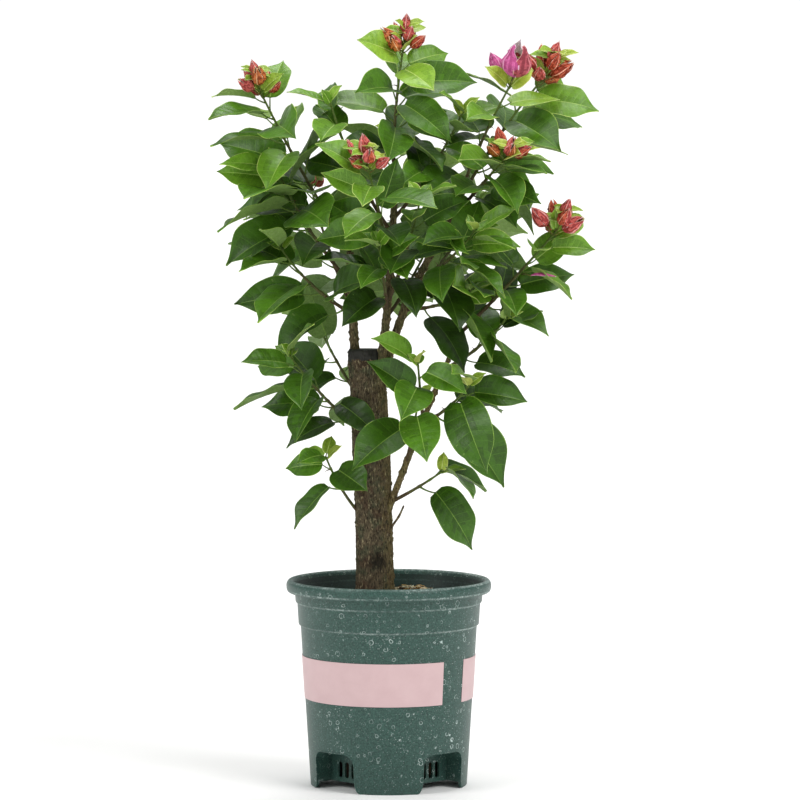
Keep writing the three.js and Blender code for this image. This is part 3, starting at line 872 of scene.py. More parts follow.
@dataclass(frozen=True)
class BractTint:
    """Young bougainvillea bract, papery and drawn up in ribs.

    The eye sees a dry sheen and pinker edges. The folds are painted darker and brownish as
    painted shade, and the ribs pinker and lighter as painted highlight.
    """

    name: str
    # darker colour of the folds: painted shade
    valley: str
    # lighter colour of the ribs: painted highlight
    ridge: str
    keel: str
    edge: str
    lining: str

    def finish(self, part: BractPart) -> NettedFinish:
        """Gives the finish of one part of the bract.

        Args:
            part: the part.

        Returns:
            Its finish.
        """
        return NettedFinish(
            f"{self.name}, {part.value}",
            getattr(self, part.value),
            roughness=0.55,
            shine=0.35,
            cloud_depth=0.22,
            relief=0.3,
            net_colour=self.valley,
            net_share=0.4,
        )


BRACTS = (
    BractTint("coral bract", "#953720", "#cc5d43", "#f1a88e", "#f9cab6", "#b04f3f"),
    BractTint("orange bract", "#934520", "#cf743f", "#f2b888", "#fad4b0", "#b9633a"),
    BractTint("rose bract", "#9c3836", "#d4665f", "#f4b0a8", "#fbd0ca", "#c45f64"),
    BractTint("magenta bract", "#b44880", "#d2659f", "#eaa0c8", "#f6c4dc", "#d97fb4"),
    # Its lining is painted near white: painted light on the inner face, which lies in shade inside the open
    # cluster.
    BractTint("pale rose bract", "#eeb2c2", "#f8ced8", "#fce2e8", "#feecf0", "#fdeaf0"),
    BractTint("dusky bract", "#8a333f", "#b4505c", "#d58286", "#eeb0ae", "#c26c78"),
)
CORAL, ORANGE, ROSE, MAGENTA, PALE_ROSE, DUSKY = range(len(BRACTS))
YOUNG_BRACTS = (CORAL, ROSE, CORAL, ORANGE, ROSE, CORAL)  # tints of the closed clusters
STEM_FINISHES = (
    CloudedFinish("green stem", "#566b2a", 0.55),
    CloudedFinish("ripening stem", "#56572f", 0.65),
    CloudedFinish("woody twig", "#524631", 0.85, shine=0.2),
    CloudedFinish("leaf stalk", "#627d34", 0.5),
    CloudedFinish("bract stalk", "#6f6e35", 0.6),
    CloudedFinish("thorn", "#5d4a2c", 0.6),
)


class Stem(Enum):
    """What a twig or a stalk is finished as, in the order of its finishes."""

    GREEN = 0
    RIPENING = 1
    WOODY = 2
    LEAF_STALK = 3
    BRACT_STALK = 4
    THORN = 5


# --- pot, label, soil


def lathed(name: str, profile: Sequence[Corner], segments: int) -> Piece:
    """Turns a closed profile of radii and heights round the Z axis.

    Args:
        name: the object's name.
        profile: radius and height of each corner, against the clock as drawn with the axis at
            the left. Its first and last corners lie on the axis.
        segments: number of steps round.

    Returns:
        The object, in metres and not yet on any body.
    """
    points = [(0.0, 0.0, profile[0][1])]
    for radius, height in profile[1:-1]:
        points += circle(radius, height, segments)
    points.append((0.0, 0.0, profile[-1][1]))
    top, last = len(points) - 1, len(points) - 1 - segments
    steps = [(j, (j + 1) % segments) for j in range(segments)]
    faces: list[Face] = [(0, 1 + k, 1 + j) for j, k in steps]
    faces += [tuple(i + 1 for i in face) for face in ring_faces(len(profile) - 2, segments)]
    faces += [(top, last + j, last + k) for j, k in steps]
    return bare_object(name, np.array(points), faces)


def outward_blocks(
    name: str, outline: Sequence[Corner], start: float, depth: float, bearings: Sequence[float]
) -> Piece:
    """Stands an outline upright and runs it outwards from a radius, once for each bearing.

    Args:
        name: the object's name.
        outline: distance aside and height of each corner, against the clock from outside.
        start: radius at which the blocks begin.
        depth: how far they run outwards.
        bearings: where they stand, in degrees from the front.

    Returns:
        One object that holds them all.
    """
    count = len(outline)
    points, faces = [], []
    for number, bearing in enumerate(bearings):
        cos, sin = math.cos(math.radians(bearing)), math.sin(math.radians(bearing))
        for y in (-start, -(start + depth)):
            points += [(x * cos - y * sin, x * sin + y * cos, height) for x, height in outline]
        base = number * 2 * count
        faces.append(tuple(base + i for i in reversed(range(count))))
        faces.append(tuple(base + count + i for i in range(count)))
        faces += [tuple(base + i for i in face) for face in ring_faces(2, count)]
    return bare_object(name, np.array(points), faces)


def combine(target: Piece, tool: Piece, operation: str) -> None:
    """Joins, cuts or crosses a solid with a tool, which is used up.

    Args:
        target: the solid that is changed.
        tool: the solid that changes it.
        operation: UNION, DIFFERENCE or INTERSECT.
    """
    step = target.modifiers.new("step", "BOOLEAN")
    step.operation, step.object, step.solver = operation, tool, "MANIFOLD"
    graph = bpy.context.evaluated_depsgraph_get()
    graph.update()
    mesh = bpy.data.meshes.new_from_object(target.evaluated_get(graph))
    target.modifiers.clear()
    target.data = mesh
    bpy.data.objects.remove(tool)


@dataclass
class Pot:
    """The round nursery pot with its banded collar, rolled rim and arched drainage niches."""

    height: float = 171.0
    wall: float = 1.8
    foot_radius: float = 64.9
    shoulder_height: float = 133.5
    shoulder_radius: float = 73.2
    band_step: float = 1.6
    band_height: float = 18.5
    collar_height: float = 8.5
    rim_radius: float = 85.0
    rim_height: float = 10.0
    roll_width: float = 6.6
    floor_height: float = 5.5
    centre_foot_radius: float = 13.0
    segments: int = 192
    niche_bearings: tuple[float, ...] = (45.0, 135.0, 225.0, 315.0)
    niche_half_width: float = 22.0
    niche_height: float = 32.0
    niche_corner: float = 9.0
    niche_reach: float = 60.0  # height that everything round the niches stays under
    flare_height: float = 10.0
    flare: float = 4.5
    back_radius: float = 45.0
    slots: int = 4
    slot_width: float = 4.8
    slot_pitch: float = 7.6
    slot_bottom: float = 8.5
    slot_top: float = 22.0
    arch_bead: float = 0.45  # the rounded edge round each niche stands out this far
    bead_width: float = 1.0
    sharp_edge: float = 38.0  # an edge that turns by more degrees than this isn't smoothed
    finish: MouldedPolypropylene = field(default_factory=MouldedPolypropylene)
    # Painted shade: a darker copy of the polypropylene, for the inside of the pot and the groove under the
    # rim's lip.
    painted_shade_finish: MouldedPolypropylene = field(
        default_factory=lambda: MouldedPolypropylene("polypropylene, painted shade", "#243c36", "#172824", "#5f7770")
    )

    def wall_radius(self, height: float) -> float:
        """Gives the outer radius of the plain tapered wall at a height."""
        return lerp(self.foot_radius, self.shoulder_radius, height / self.shoulder_height)

    def profile(self) -> list[Corner]:
        """Draws the pot's section.

        Returns:
            Its corners, from the axis below to the axis inside.
        """
        wall, rim, shoulder = self.wall, self.rim_radius, self.shoulder_height
        band_top = shoulder + self.band_height
        collar_top = band_top + self.collar_height
        band = self.shoulder_radius + self.band_step
        collar = band + self.band_step + 1
        floor_top = self.floor_height + wall
        underside = [
            (0.0, 0.0),
            (self.centre_foot_radius, 0.0),
            (self.centre_foot_radius + 1.5, self.floor_height),
            (self.foot_radius - wall - 0.6, self.floor_height),
        ]
        outside = [
            (self.foot_radius - wall, 0.0),
            (self.foot_radius - 0.4, 0.0),
            *((self.wall_radius(z), z) for z in (0.5, self.niche_reach, shoulder - 1)),
            (self.shoulder_radius + 0.2, shoulder - 0.4),
            (band - 0.2, shoulder + 0.4),
            (band + 0.1, shoulder + 1.2),
            (band + 1.1, band_top - 0.8),
            (band + 1.4, band_top - 0.2),
            (collar - 0.4, band_top + 0.4),
            (collar, band_top + 1.2),
            (collar + 0.5, collar_top - 0.6),
            (collar + 1.0, collar_top),
            (collar + 1.0, collar_top + 1.8),
        ]
        lip = [(-4.6, 1.9), (-3.4, 0.6), (-2.0, 0.3), (-0.8, 1.3), (-0.2, 3.0)]
        outside += [(rim + out, collar_top + up) for out, up in lip]
        wide, high = self.roll_width / 2, self.rim_height / 2
        roll = [
            (rim - wide + wide * math.cos(angle), self.height - high + high * math.sin(angle))
            for angle in np.linspace(-0.1, math.pi * 0.93, 14)
        ]
        inside = [
            (collar + 1.5 - wall, collar_top + 1),
            (collar + 0.4 - wall, collar_top - 2),
            (band + 1.2 - wall, band_top - 0.5),
            (band - wall, shoulder + 0.5),
            (self.shoulder_radius - wall, shoulder - 0.5),
            (self.wall_radius(floor_top) - wall, floor_top),
            (0.0, floor_top),
        ]
        return underside + outside + roll + inside

    def arch(self, grow: float) -> list[Corner]:
        """Draws a niche's arch as seen from outside.

        Args:
            grow: how much wider it is on every side.

        Returns:
            Its corners, against the clock.
        """
        half = self.niche_half_width + grow
        top = self.niche_height + grow
        corner = self.niche_corner + grow
        right = [(half + self.flare, -4.0), (half + self.flare, 0.0)]
        right += [
            (half + self.flare * (1 - math.sin(a)), self.flare_height * (1 - math.cos(a)))
            for a in np.linspace(0.35, math.pi / 2, 5)
        ]
        right += [
            (half - corner + corner * math.cos(a), top - corner + corner * math.sin(a))
            for a in np.linspace(0, math.pi / 2, 9)
        ]
        return right + [(-x, z) for x, z in reversed(right)]

    def slot_outline(self, offset: float) -> list[Corner]:
        """Draws one drainage slot of a niche's back wall, with round ends.

        Args:
            offset: how far it stands from the middle of the wall.

        Returns:
            Its corners, against the clock.
        """
        half = self.slot_width / 2
        ends = ((self.slot_top - half, 0.0), (self.slot_bottom + half, math.pi))
        return [
            (offset + half * math.cos(a), middle + half * math.sin(a))
            for middle, first in ends
            for a in np.linspace(first, first + math.pi, 7)
        ]

    def build(self) -> Piece:
        """Builds and dresses the pot, and lets it stand for its CAD node.

        Returns:
            The piece.
        """
        pot = lathed("pot_moulding", self.profile(), self.segments)
        self._add_niches(pot)
        pot.data.materials.clear()
        for finish in (self.finish, self.painted_shade_finish):
            pot.data.materials.append(finish.material())
        # Painted shade: faces inside the pot and in the groove under the rim's lip take the darker finish.
        for face in pot.data.polygons:
            face.material_index = int(self._takes_painted_shade(face.center / MM, face.normal))
        pot.data.polygons.foreach_set("use_smooth", [True] * len(pot.data.polygons))
        pot.data.set_sharp_from_angle(angle=math.radians(self.sharp_edge))
        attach(pot, "root")
        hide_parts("pot")
        return pot

    def _add_niches(self, pot: Piece) -> None:
        """Lines, edges and cuts the niches, and cuts the slots in their back walls.

        Args:
            pot: the plain pot.
        """
        reach, bead, top = self.niche_reach, self.arch_bead, self.wall_radius(self.niche_reach)
        lined = [
            (0.0, self.floor_height - 0.2),
            (self.foot_radius - self.wall - 0.8, self.floor_height - 0.2),
            (self.foot_radius - self.wall - 0.4, 0.0),
            (self.foot_radius - 0.1, 0.0),
            (top - 0.1, reach),
            (0.0, reach),
        ]
        edged = [
            (0.0, 0.0),
            (self.wall_radius(0) + bead - 0.3, 0.0),
            (self.wall_radius(1) + bead, 1.0),
            (top + bead, reach),
            (0.0, reach),
        ]
        for name, limits, grow, start, depth in (
            ("linings", lined, self.wall, self.back_radius - self.wall, 40),
            ("beads", edged, self.bead_width, self.foot_radius - 6, 20),
        ):
            blocks = outward_blocks(name, self.arch(grow), start, depth, self.niche_bearings)
            combine(blocks, lathed(f"{name}, limits", limits, self.segments), "INTERSECT")
            combine(pot, blocks, "UNION")
        cuts = [(self.arch(0), self.back_radius, 40)]
        for i in range(self.slots):
            offset = (i - (self.slots - 1) / 2) * self.slot_pitch
            cuts.append((self.slot_outline(offset), self.back_radius - 6, 8))
        for outline, start, depth in cuts:
            blocks = outward_blocks("cuts", outline, start, depth, self.niche_bearings)
            combine(pot, blocks, "DIFFERENCE")

    def _takes_painted_shade(self, centre: Vector, normal: Vector) -> bool:
        """Tells whether a face takes the painted shade, inside the pot or in the groove under the rim's lip.

        Args:
            centre: the middle of the face, in millimetres.
            normal: where it faces.

        Returns:
            Whether it takes the painted shade.
        """
        outward = Vector((centre.x, centre.y, 0)).normalized()
        within = centre.z > self.floor_height and normal.dot(outward) < -0.5
        reach = math.hypot(centre.x, centre.y)
        low = centre.z < self.height - 0.6 * self.rim_height
        inside = within and low and reach > self.foot_radius - self.wall - 3
        groove = 0.1 < centre.z - (self.height - self.rim_height - 0.5) < 2.2
        return inside or (groove and reach < self.rim_radius - 3.5)


@dataclass
class Labels:
    """The two bare label bands on the pot's wall."""

    pot: Pot
    bottom: float = 73.0
    height: float = 35.5
    thickness: float = 0.5
    gap: float = 0.12
    lift: float = 0.06  # of the whole film from the wall
    soft: float = 0.15  # how far its edges are rounded
    spans: tuple[tuple[str, float, float], ...] = (
        ("label_front", -121.0, 39.0),
        ("label_back", 59.0, 219.0),
    )
    steps: int = 96
    sharp_edge: float = 35.0
    finish: LabelFilm = field(default_factory=LabelFilm)

    def build(self) -> list[Piece]:
        """Builds each band as a curved plate with rounded edges that stands for its CAD node."""
        material = self.finish.material()
        return [self._band(name, start, end, material) for name, start, end in self.spans]

    def _band(self, name: str, start: float, end: float, material: Material) -> Piece:
        """Builds one band.

        Args:
            name: the CAD node it stands for.
            start: bearing of its first end, in degrees from the front.
            end: bearing of its other end.
            material: its film.

        Returns:
            The piece.
        """
        low, high, soft = self.bottom, self.bottom + self.height, self.soft
        points = []
        for i in range(self.steps + 1):
            angle = math.radians(lerp(start, end, i / self.steps) - 90)
            thick = self.thickness * (0.5 if i in (0, self.steps) else 1.0)
            section = [
                (self.gap, low),
                (thick - soft, low),
                (thick, low + soft),
                (thick, high - soft),
                (thick - soft, high),
                (self.gap, high),
            ]
            for out, height in section:
                radius = self.pot.wall_radius(height) + out + self.lift
                points.append((radius * math.cos(angle), radius * math.sin(angle), height))
        corners = len(section)
        faces = ring_faces(self.steps + 1, corners)
        faces.append(tuple(reversed(range(corners))))
        faces.append(tuple(self.steps * corners + i for i in range(corners)))
        skin = Skin()
        skin.add(np.array(points), faces)
        piece = skin.piece(f"{name}_film", [material])
        piece.data.set_sharp_from_angle(angle=math.radians(self.sharp_edge))
        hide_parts(name)
        return piece


@dataclass
class Soil:
    """The potting mix in the pot, with coir chips scattered over it."""

    pot: Pot
    clear: float = 0.5  # from the pot's wall
    edge_height: float = 149.0
    edge_radius: float = 74.0
    mound_height: float = 156.0
    mound_radius: float = 29.0
    lump: float = 1.3
    lump_size: float = 0.12  # lumps for each millimetre
    rings: int = 44
    spokes: int = 120
    chips: int = 900
    chip_reach: float = 72.0
    heap_share: float = 0.4  # of the chips
    heap: tuple[float, float] = (21.0, 24.0)  # middle of the low heap of pale chips by the stem
    heap_spread: float = 17.0
    heap_aspect: float = 1.3  # how much wider than deep it is
    heap_rise: float = 4.8
    finish: PottingMix = field(default_factory=PottingMix)

    def surface(self, x: float, y: float) -> float:
        """Works out how high the soil lies.

        Args:
            x: distance to the right of the pot's axis.
            y: distance behind it.

        Returns:
            The height there.
        """
        share = float(smooth_step(math.hypot(x, y), self.mound_radius, self.edge_radius))
        level = lerp(self.mound_height, self.edge_height, share)
        away = math.hypot((x - self.heap[0]) / self.heap_aspect, y - self.heap[1]) / self.heap_spread
        lumps = noise.fractal(Vector((x * self.lump_size, y * self.lump_size, 3.1)), 0.8, 2.0, 4)
        return level + self.lump * lumps + self.heap_rise * math.exp(-(away**4))

    def build(self) -> list[Piece]:
        """Builds the soil and its chips, which stand for the CAD node.

        Returns:
            The two pieces.
        """
        pot, spokes = self.pot, self.spokes
        clear = pot.wall + self.clear
        band = pot.shoulder_radius + pot.band_step
        points = []
        for radius, height in (
            (pot.back_radius - 4, 8.0),
            (pot.wall_radius(40) - clear - 24, 38.0),
            (pot.wall_radius(pot.niche_reach) - clear, pot.niche_reach),
            (pot.shoulder_radius - clear, pot.shoulder_height - 1),
            (band - clear, pot.shoulder_height + 2),
        ):
            points += circle(radius, height, spokes)
        for i in range(self.rings, 0, -1):
            level = circle((band + 0.9 - clear) * i / self.rings, 0, spokes)
            points += [(x, y, self.surface(x, y)) for x, y, _ in level]
        top, last = len(points), len(points) - spokes
        points.append((0.0, 0.0, self.surface(0, 0)))
        faces = ring_faces(top // spokes, spokes)
        faces.append(tuple(reversed(range(spokes))))
        faces += [(top, last + j, last + (j + 1) % spokes) for j in range(spokes)]
        skin = Skin()
        skin.add(np.array(points), faces)
        soil = skin.piece("potting_mix", [self.finish.material()])
        chips = self._chips()
        for piece in (soil, chips):
            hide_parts("soil")
        return [soil, chips]

    def _chips(self) -> Piece:
        """Scatters small bent chips over the soil, with a pale heap by the stem.

        Returns:
            The piece that holds them all.
        """
        skin = Skin()
        draws = Stream(17)
        for number in range(self.chips):
            in_heap = number < self.chips * self.heap_share
            root, angle = math.sqrt(draws.next()), draws.between(0, math.tau)
            if in_heap:
                spread = 1.15 * self.heap_spread * root
                x = self.heap[0] + spread * math.cos(angle) * self.heap_aspect
                y = self.heap[1] + spread * math.sin(angle)
            else:
                x, y = self.chip_reach * root * math.cos(angle), self.chip_reach * root * math.sin(angle)
            rise = 1.6 * draws.next() ** 2 if in_heap else 0.0
            place = vec(x, y, self.surface(x, y) + 0.4 + rise)
            points = self._chip(place, draws)
            faces = ring_faces(3, 4) + [(3, 2, 1, 0), (8, 9, 10, 11)]
            pale = draws.next()
            finish = int(pale * pale * 3.4) if in_heap else min(3, 1 + int(pale * 3.2))
            skin.add(np.array(points), faces, finish)
        return skin.piece("coir_chips", [f.material() for f in COIR_FINISHES])

    def _chip(self, place: Array, draws: Stream) -> list[Array]:
        """Draws one chip, bowed and pointed at its ends.

        Args:
            place: its middle.
            draws: the stream of its direction and sizes.

        Returns:
            Its corners, four for each of three sections.
        """
        heading, tilt = draws.between(0, math.tau), draws.between(-0.35, 0.35)
        along = level_at(heading) * math.cos(tilt) + vec(0, 0, math.sin(tilt))
        length, width = draws.between(2.5, 9.0), draws.between(0.6, 1.9)
        across = unit(np.cross(along, vec(0, 0, 1)))
        up = unit(np.cross(across, along))
        bow = draws.between(0, 0.9)
        points = []
        for s, girth in ((-0.5, 0.28), (0, 0.5), (0.5, 0.28)):
            centre = place + along * length * s + vec(0, 0, bow * (1 - 4 * s * s))
            half = width * girth
            points += [
                centre + across * half,
                centre + up * half * 0.5,
                centre - across * half,
                centre - up * half * 0.5,
            ]
        return points


# --- stem and limbs


@dataclass(frozen=True)
class Limb:
    """A tapering limb and what it grows from."""

    name: str
    curve: Curve
    radii: tuple[float, float]


TRUNK = Limb("trunk", Curve(vec(-11.5, 0, 156.3), vec(-12, 0, 262), vec(-19.5, 0, 362)), (15.4, 14.0))
LIMBS = (
    Limb("limb_left", Curve(vec(-27, 2, 342), vec(-30.5, 3, 400), vec(-32, 5, 442)), (3.9, 3.0)),
    Limb("limb_middle", Curve(vec(-11, -7, 322), vec(2, -13, 400), vec(4.5, -2, 483)), (3.8, 2.5)),
    Limb("limb_right", Curve(vec(-9, 1, 318), vec(8, 2, 408), vec(58, 0, 476)), (4.0, 2.3)),
    Limb("branch_low", Curve(vec(-4, -6, 219), vec(27, -12, 304), vec(58.5, -10, 375)), (2.9, 1.8)),
    Limb("twig_bare", Curve(vec(-2, -7, 211), vec(7, -10, 219), vec(12.5, -10, 233)), (1.0, 0.6)),
)
STUB = Curve(vec(-21.5, -11.5, 243.5), vec(-25.25, -16.5, 247.25), vec(-26, -17.5, 248))  # sawn off short


@dataclass
class Wood:
    """The stem and its limbs, with the relief of their bark."""

    trunk_corners: int = 132
    ring_pitch: float = 0.9
    furrow_depth: float = 0.9
    furrow_width: float = 2.6
    furrow_stretch: float = 0.32  # furrows change this much more slowly up the wood than round it
    knot_count: int = 520
    knot_share: float = 0.12  # of them; the rest are small warts
    collar_swell: float = 0.28  # of the stem round each limb, as a share of the limb's radius
    foot_swell: float = 0.8
    belly_swell: float = 0.8
    top_chamfer: float = 0.9
    sealed: float = 9.0  # depth of the band of sealant at the sawn top
    drip: float = 2.6  # how unevenly it runs down
    limb_corners: int = 20
    scar_pitch: float = 12.0
    wart_pitch: float = 1.6
    bark: Bark = field(default_factory=lambda: Bark(patch=(-9.0, -15.5, 187.0)))
    young_bark: Bark = field(
        default_factory=lambda: Bark("limb bark", "#776b4e", "#61533e", "#615e40", furrow_width=1.0)
    )
    pale_bark: Bark = field(
        default_factory=lambda: Bark("young branch bark", "#857650", "#6b583d", "#6f6c44", furrow_width=0.9)
    )
    sealant: WoundSealant = field(default_factory=WoundSealant)
    cut_wood: CloudedFinish = field(default_factory=lambda: CloudedFinish("cut wood", "#a8946a", 0.85))

    def build(self) -> list[Piece]:
        """Builds the stem and the limbs, each of which stands for its CAD node.

        Returns:
            The pieces.
        """
        bark = self.bark.material()
        young, pale = self.young_bark.material(), self.pale_bark.material()
        pieces = [self._trunk(bark)]
        pieces += [self._limb(limb, pale if limb.name == "branch_low" else young) for limb in LIMBS]
        return pieces

    def _furrows(self, place: Array, width: float, depth: float) -> float:
        """Gives the relief of furrowed bark at a place.

        Args:
            place: the point on the smooth stem.
            width: distance from one furrow to the next.
            depth: how deep they are.

        Returns:
            How far the bark stands out.
        """
        x, y, z = place * (1 / width)
        ridge = noise.fractal(Vector((x, y, z * self.furrow_stretch)), 0.7, 2.1, 5)
        fine = noise_at(place[0] * 1.1, place[1] * 1.1, place[2] * 0.8)
        return depth * ((1 - abs(ridge) * 2) * 0.75 + fine * 0.35 - 0.3)

    def _trunk(self, bark: Material) -> Piece:
        """Builds the stem with its furrows, knots, branch collars and sealed top.

        Args:
            bark: its material.

        Returns:
            The piece.
        """
        curve, (foot, top) = TRUNK.curve, TRUNK.radii
        rings = int(curve.length() / self.ring_pitch)
        centres, widths, rises = self._knots()
        collars = [(limb.curve.foot, limb.radii[0]) for limb in LIMBS]

        def relief(place: Array) -> float:
            """Gives how far the bark stands out.

            Args:
                place: the point on the smooth stem.

            Returns:
                The relief there.
            """
            out = self._furrows(place, self.furrow_width, self.furrow_depth)
            away = np.linalg.norm(centres - place, axis=1) / widths
            out += float((rises * np.exp(-away * away)).sum())
            for centre, radius in collars:
                reach = np.linalg.norm((place - centre) * vec(1, 1, 0.6)) / (radius * 2.2)
                out += self.collar_swell * radius * math.exp(-reach * reach)
            return out

        radii = [
            lerp(foot, top, s)
            + self.foot_swell * math.exp(-s * 14)
            + self.belly_swell * math.sin(math.pi * min(1, max(0, (s - 0.35) / 0.5)))
            for s in np.linspace(0, 1, rings)
        ]
        radii[-1] -= self.top_chamfer
        points, faces = tube(curve.path(rings), radii, self.trunk_corners, relief)
        sawn = points[-self.trunk_corners :]
        sawn[:, 2] = sawn[:, 2].mean()
        finishes = []
        for face in faces:
            x, y, height = points[list(face)].mean(axis=0)
            edge = curve.tip[2] - self.sealed + self.drip * noise_at(x * 0.3, y * 0.3, 0.5)
            finishes.append(int(height > edge))
        skin = Skin()
        skin.add(points, faces, finishes)
        points, faces = tube(STUB.path(3), [2.6, 2.1, 1.9], 12)
        skin.add(points, faces, [0] * (len(faces) - 1) + [2])
        trunk = skin.piece("stem_bark", [bark, self.sealant.material(), self.cut_wood.material()])
        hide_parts("trunk")
        return trunk

    def _knots(self) -> tuple[Array, Array, Array]:
        """Scatters knots and warts over the stem.

        Returns:
            The middle, the width and the rise of each.
        """
        draws = Stream(29)
        centres, widths, rises = [], [], []
        for number in range(self.knot_count):
            share, angle = draws.next(), draws.between(0, math.tau)
            centres.append(TRUNK.curve.point(share) + lerp(*TRUNK.radii, share) * level_at(angle))
            wart = number > self.knot_count * self.knot_share
            widths.append(draws.between(0.7, 1.5) if wart else draws.between(1.6, 3.2))
            rises.append(draws.between(0.4, 1.2) if wart else draws.between(0.5, 1.5))
        return np.array(centres), np.array(widths), np.array(rises)

    def _limb(self, limb: Limb, bark: Material) -> Piece:
        """Builds one limb with its bark, leaf scars and warts.

        Args:
            limb: the limb.
            bark: its material.

        Returns:
            The piece.
        """
        length, foot = limb.curve.length(), limb.radii[0]
        rings = max(12, int(length / self.ring_pitch))
        radii = []
        for share in np.linspace(0, 1, rings):
            at = (share * length / self.scar_pitch) % 1.0
            radii.append(lerp(*limb.radii, share) * (1 + 0.1 * math.exp(-(((at - 0.5) * 8) ** 2))))
        draws = Stream(41)
        centres, widths = [], []
        for _ in range(int(length / self.wart_pitch)):
            share, angle = draws.next(), draws.between(0, math.tau)
            centres.append(limb.curve.point(share) + level_at(angle) * lerp(*limb.radii, share))
            widths.append(draws.between(0.6, 1.4))
        middles, sizes = np.array(centres), np.array(widths)

        def relief(place: Array) -> float:
            """Gives how far the bark stands out.

            Args:
                place: the point on the smooth limb.

            Returns:
                The relief there.
            """
            away = np.linalg.norm(middles - place, axis=1) / sizes
            bumps = float((np.exp(-away * away) * sizes).sum())
            return self._furrows(place, 2.0, 0.11 * foot) + 0.24 * foot * min(1.3, bumps)

        points, faces = tube(limb.curve.path(rings), radii, self.limb_corners, relief)
        skin = Skin()
        skin.add(points, faces)
        piece = skin.piece(f"{limb.name}_bark", [bark])
        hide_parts(limb.name)
        return piece


# --- leaves and bracts


@dataclass(frozen=True)
class Place:
    """Where a leaf stands, with the directions and sizes of its blade."""

    node: Array
    stalk_end: Array
    direction: Array
    normal: Array
    across: Array
    length: float
    bend: float
    fold: float

    def point(self, share: float, half: float, raised: float) -> Array:
        """Gives one point of the blade, from the numbers that points() takes."""
        return self.points(np.float64(share), np.float64(half), np.float64(raised))

    def points(self, shares: Array, halves: Array, raised: Array) -> Array:
        """Gives many points of the blade.

        Args:
            shares: their shares of the blade's length.
            halves: their distances from the midrib, to either side.
            raised: their distances above the blade.

        Returns:
            The points.
        """
        angle = (self.bend * shares)[..., None]
        upright = self.normal * np.cos(angle) + self.direction * np.sin(angle)
        reach = self.length / self.bend
        return (
            self.stalk_end
            + self.direction * reach * np.sin(angle)
            - self.normal * reach * (1 - np.cos(angle))
            + self.across * (halves * math.cos(self.fold))[..., None]
            + upright * (np.abs(halves) * math.sin(self.fold) + raised)[..., None]
        )

    def turned(self, roll: float, lift: float, fold: float) -> "Place":
        """Turns the blade about its midrib, lifts its tip and folds it further.

        Args:
            roll: how far it turns, in radians.
            lift: how far it rises, in radians.
            fold: how much further it folds, in radians.

        Returns:
            The turned place.
        """
        direction = self.direction * math.cos(lift) + self.normal * math.sin(lift)
        upright = self.normal * math.cos(lift) - self.direction * math.sin(lift)
        across = self.across * math.cos(roll) + upright * math.sin(roll)
        normal = upright * math.cos(roll) - self.across * math.sin(roll)
        return replace(self, direction=direction, across=across, normal=normal, fold=self.fold + fold)


def outline_at(share: Array | float) -> Array | float:
    """Draws a leaf's outline, egg-shaped with a full round base and a drawn-out tip.

    Args:
        share: shares of the leaf's length, from its base.

    Returns:
        The share of the full width at each.
    """
    fullness = 0.52 + 0.5 * smooth_step(share, 0.55, 1)
    body = np.sin(math.pi * np.clip(share, 0, 1) ** 0.71) ** fullness
    return body * (1 - 0.3 * smooth_step(share, 0.62, 1))


def closed_sheet(above: Array, below: Array, base: Array, tip: Array) -> tuple[Array, list[Face]]:
    """Closes two faces of a thin sheet into one skin.

    Args:
        above: the points of its upper face, row by row from its base.
        below: those of its lower face.
        base: the point where it starts.
        tip: the point where it ends.

    Returns:
        The points and the faces: first the faces of each strip between two rows, which run
        across the top, over the edge, back along the bottom and over the other edge, and then
        two for each corner, at the base and at the tip.
    """
    rows, columns = above.shape[:2]
    corners = 2 * columns
    rings = np.concatenate([above, below[:, ::-1]], axis=1).reshape(-1, 3)
    points = np.vstack([rings, base, tip])
    first, end = len(points) - 2, len(points) - 1
    faces = [tuple(reversed(face)) for face in ring_faces(rows, corners)]
    last = (rows - 1) * corners
    for j in range(corners):
        k = (j + 1) % corners
        faces += [(first, j, k), (end, last + k, last + j)]
    return points, faces


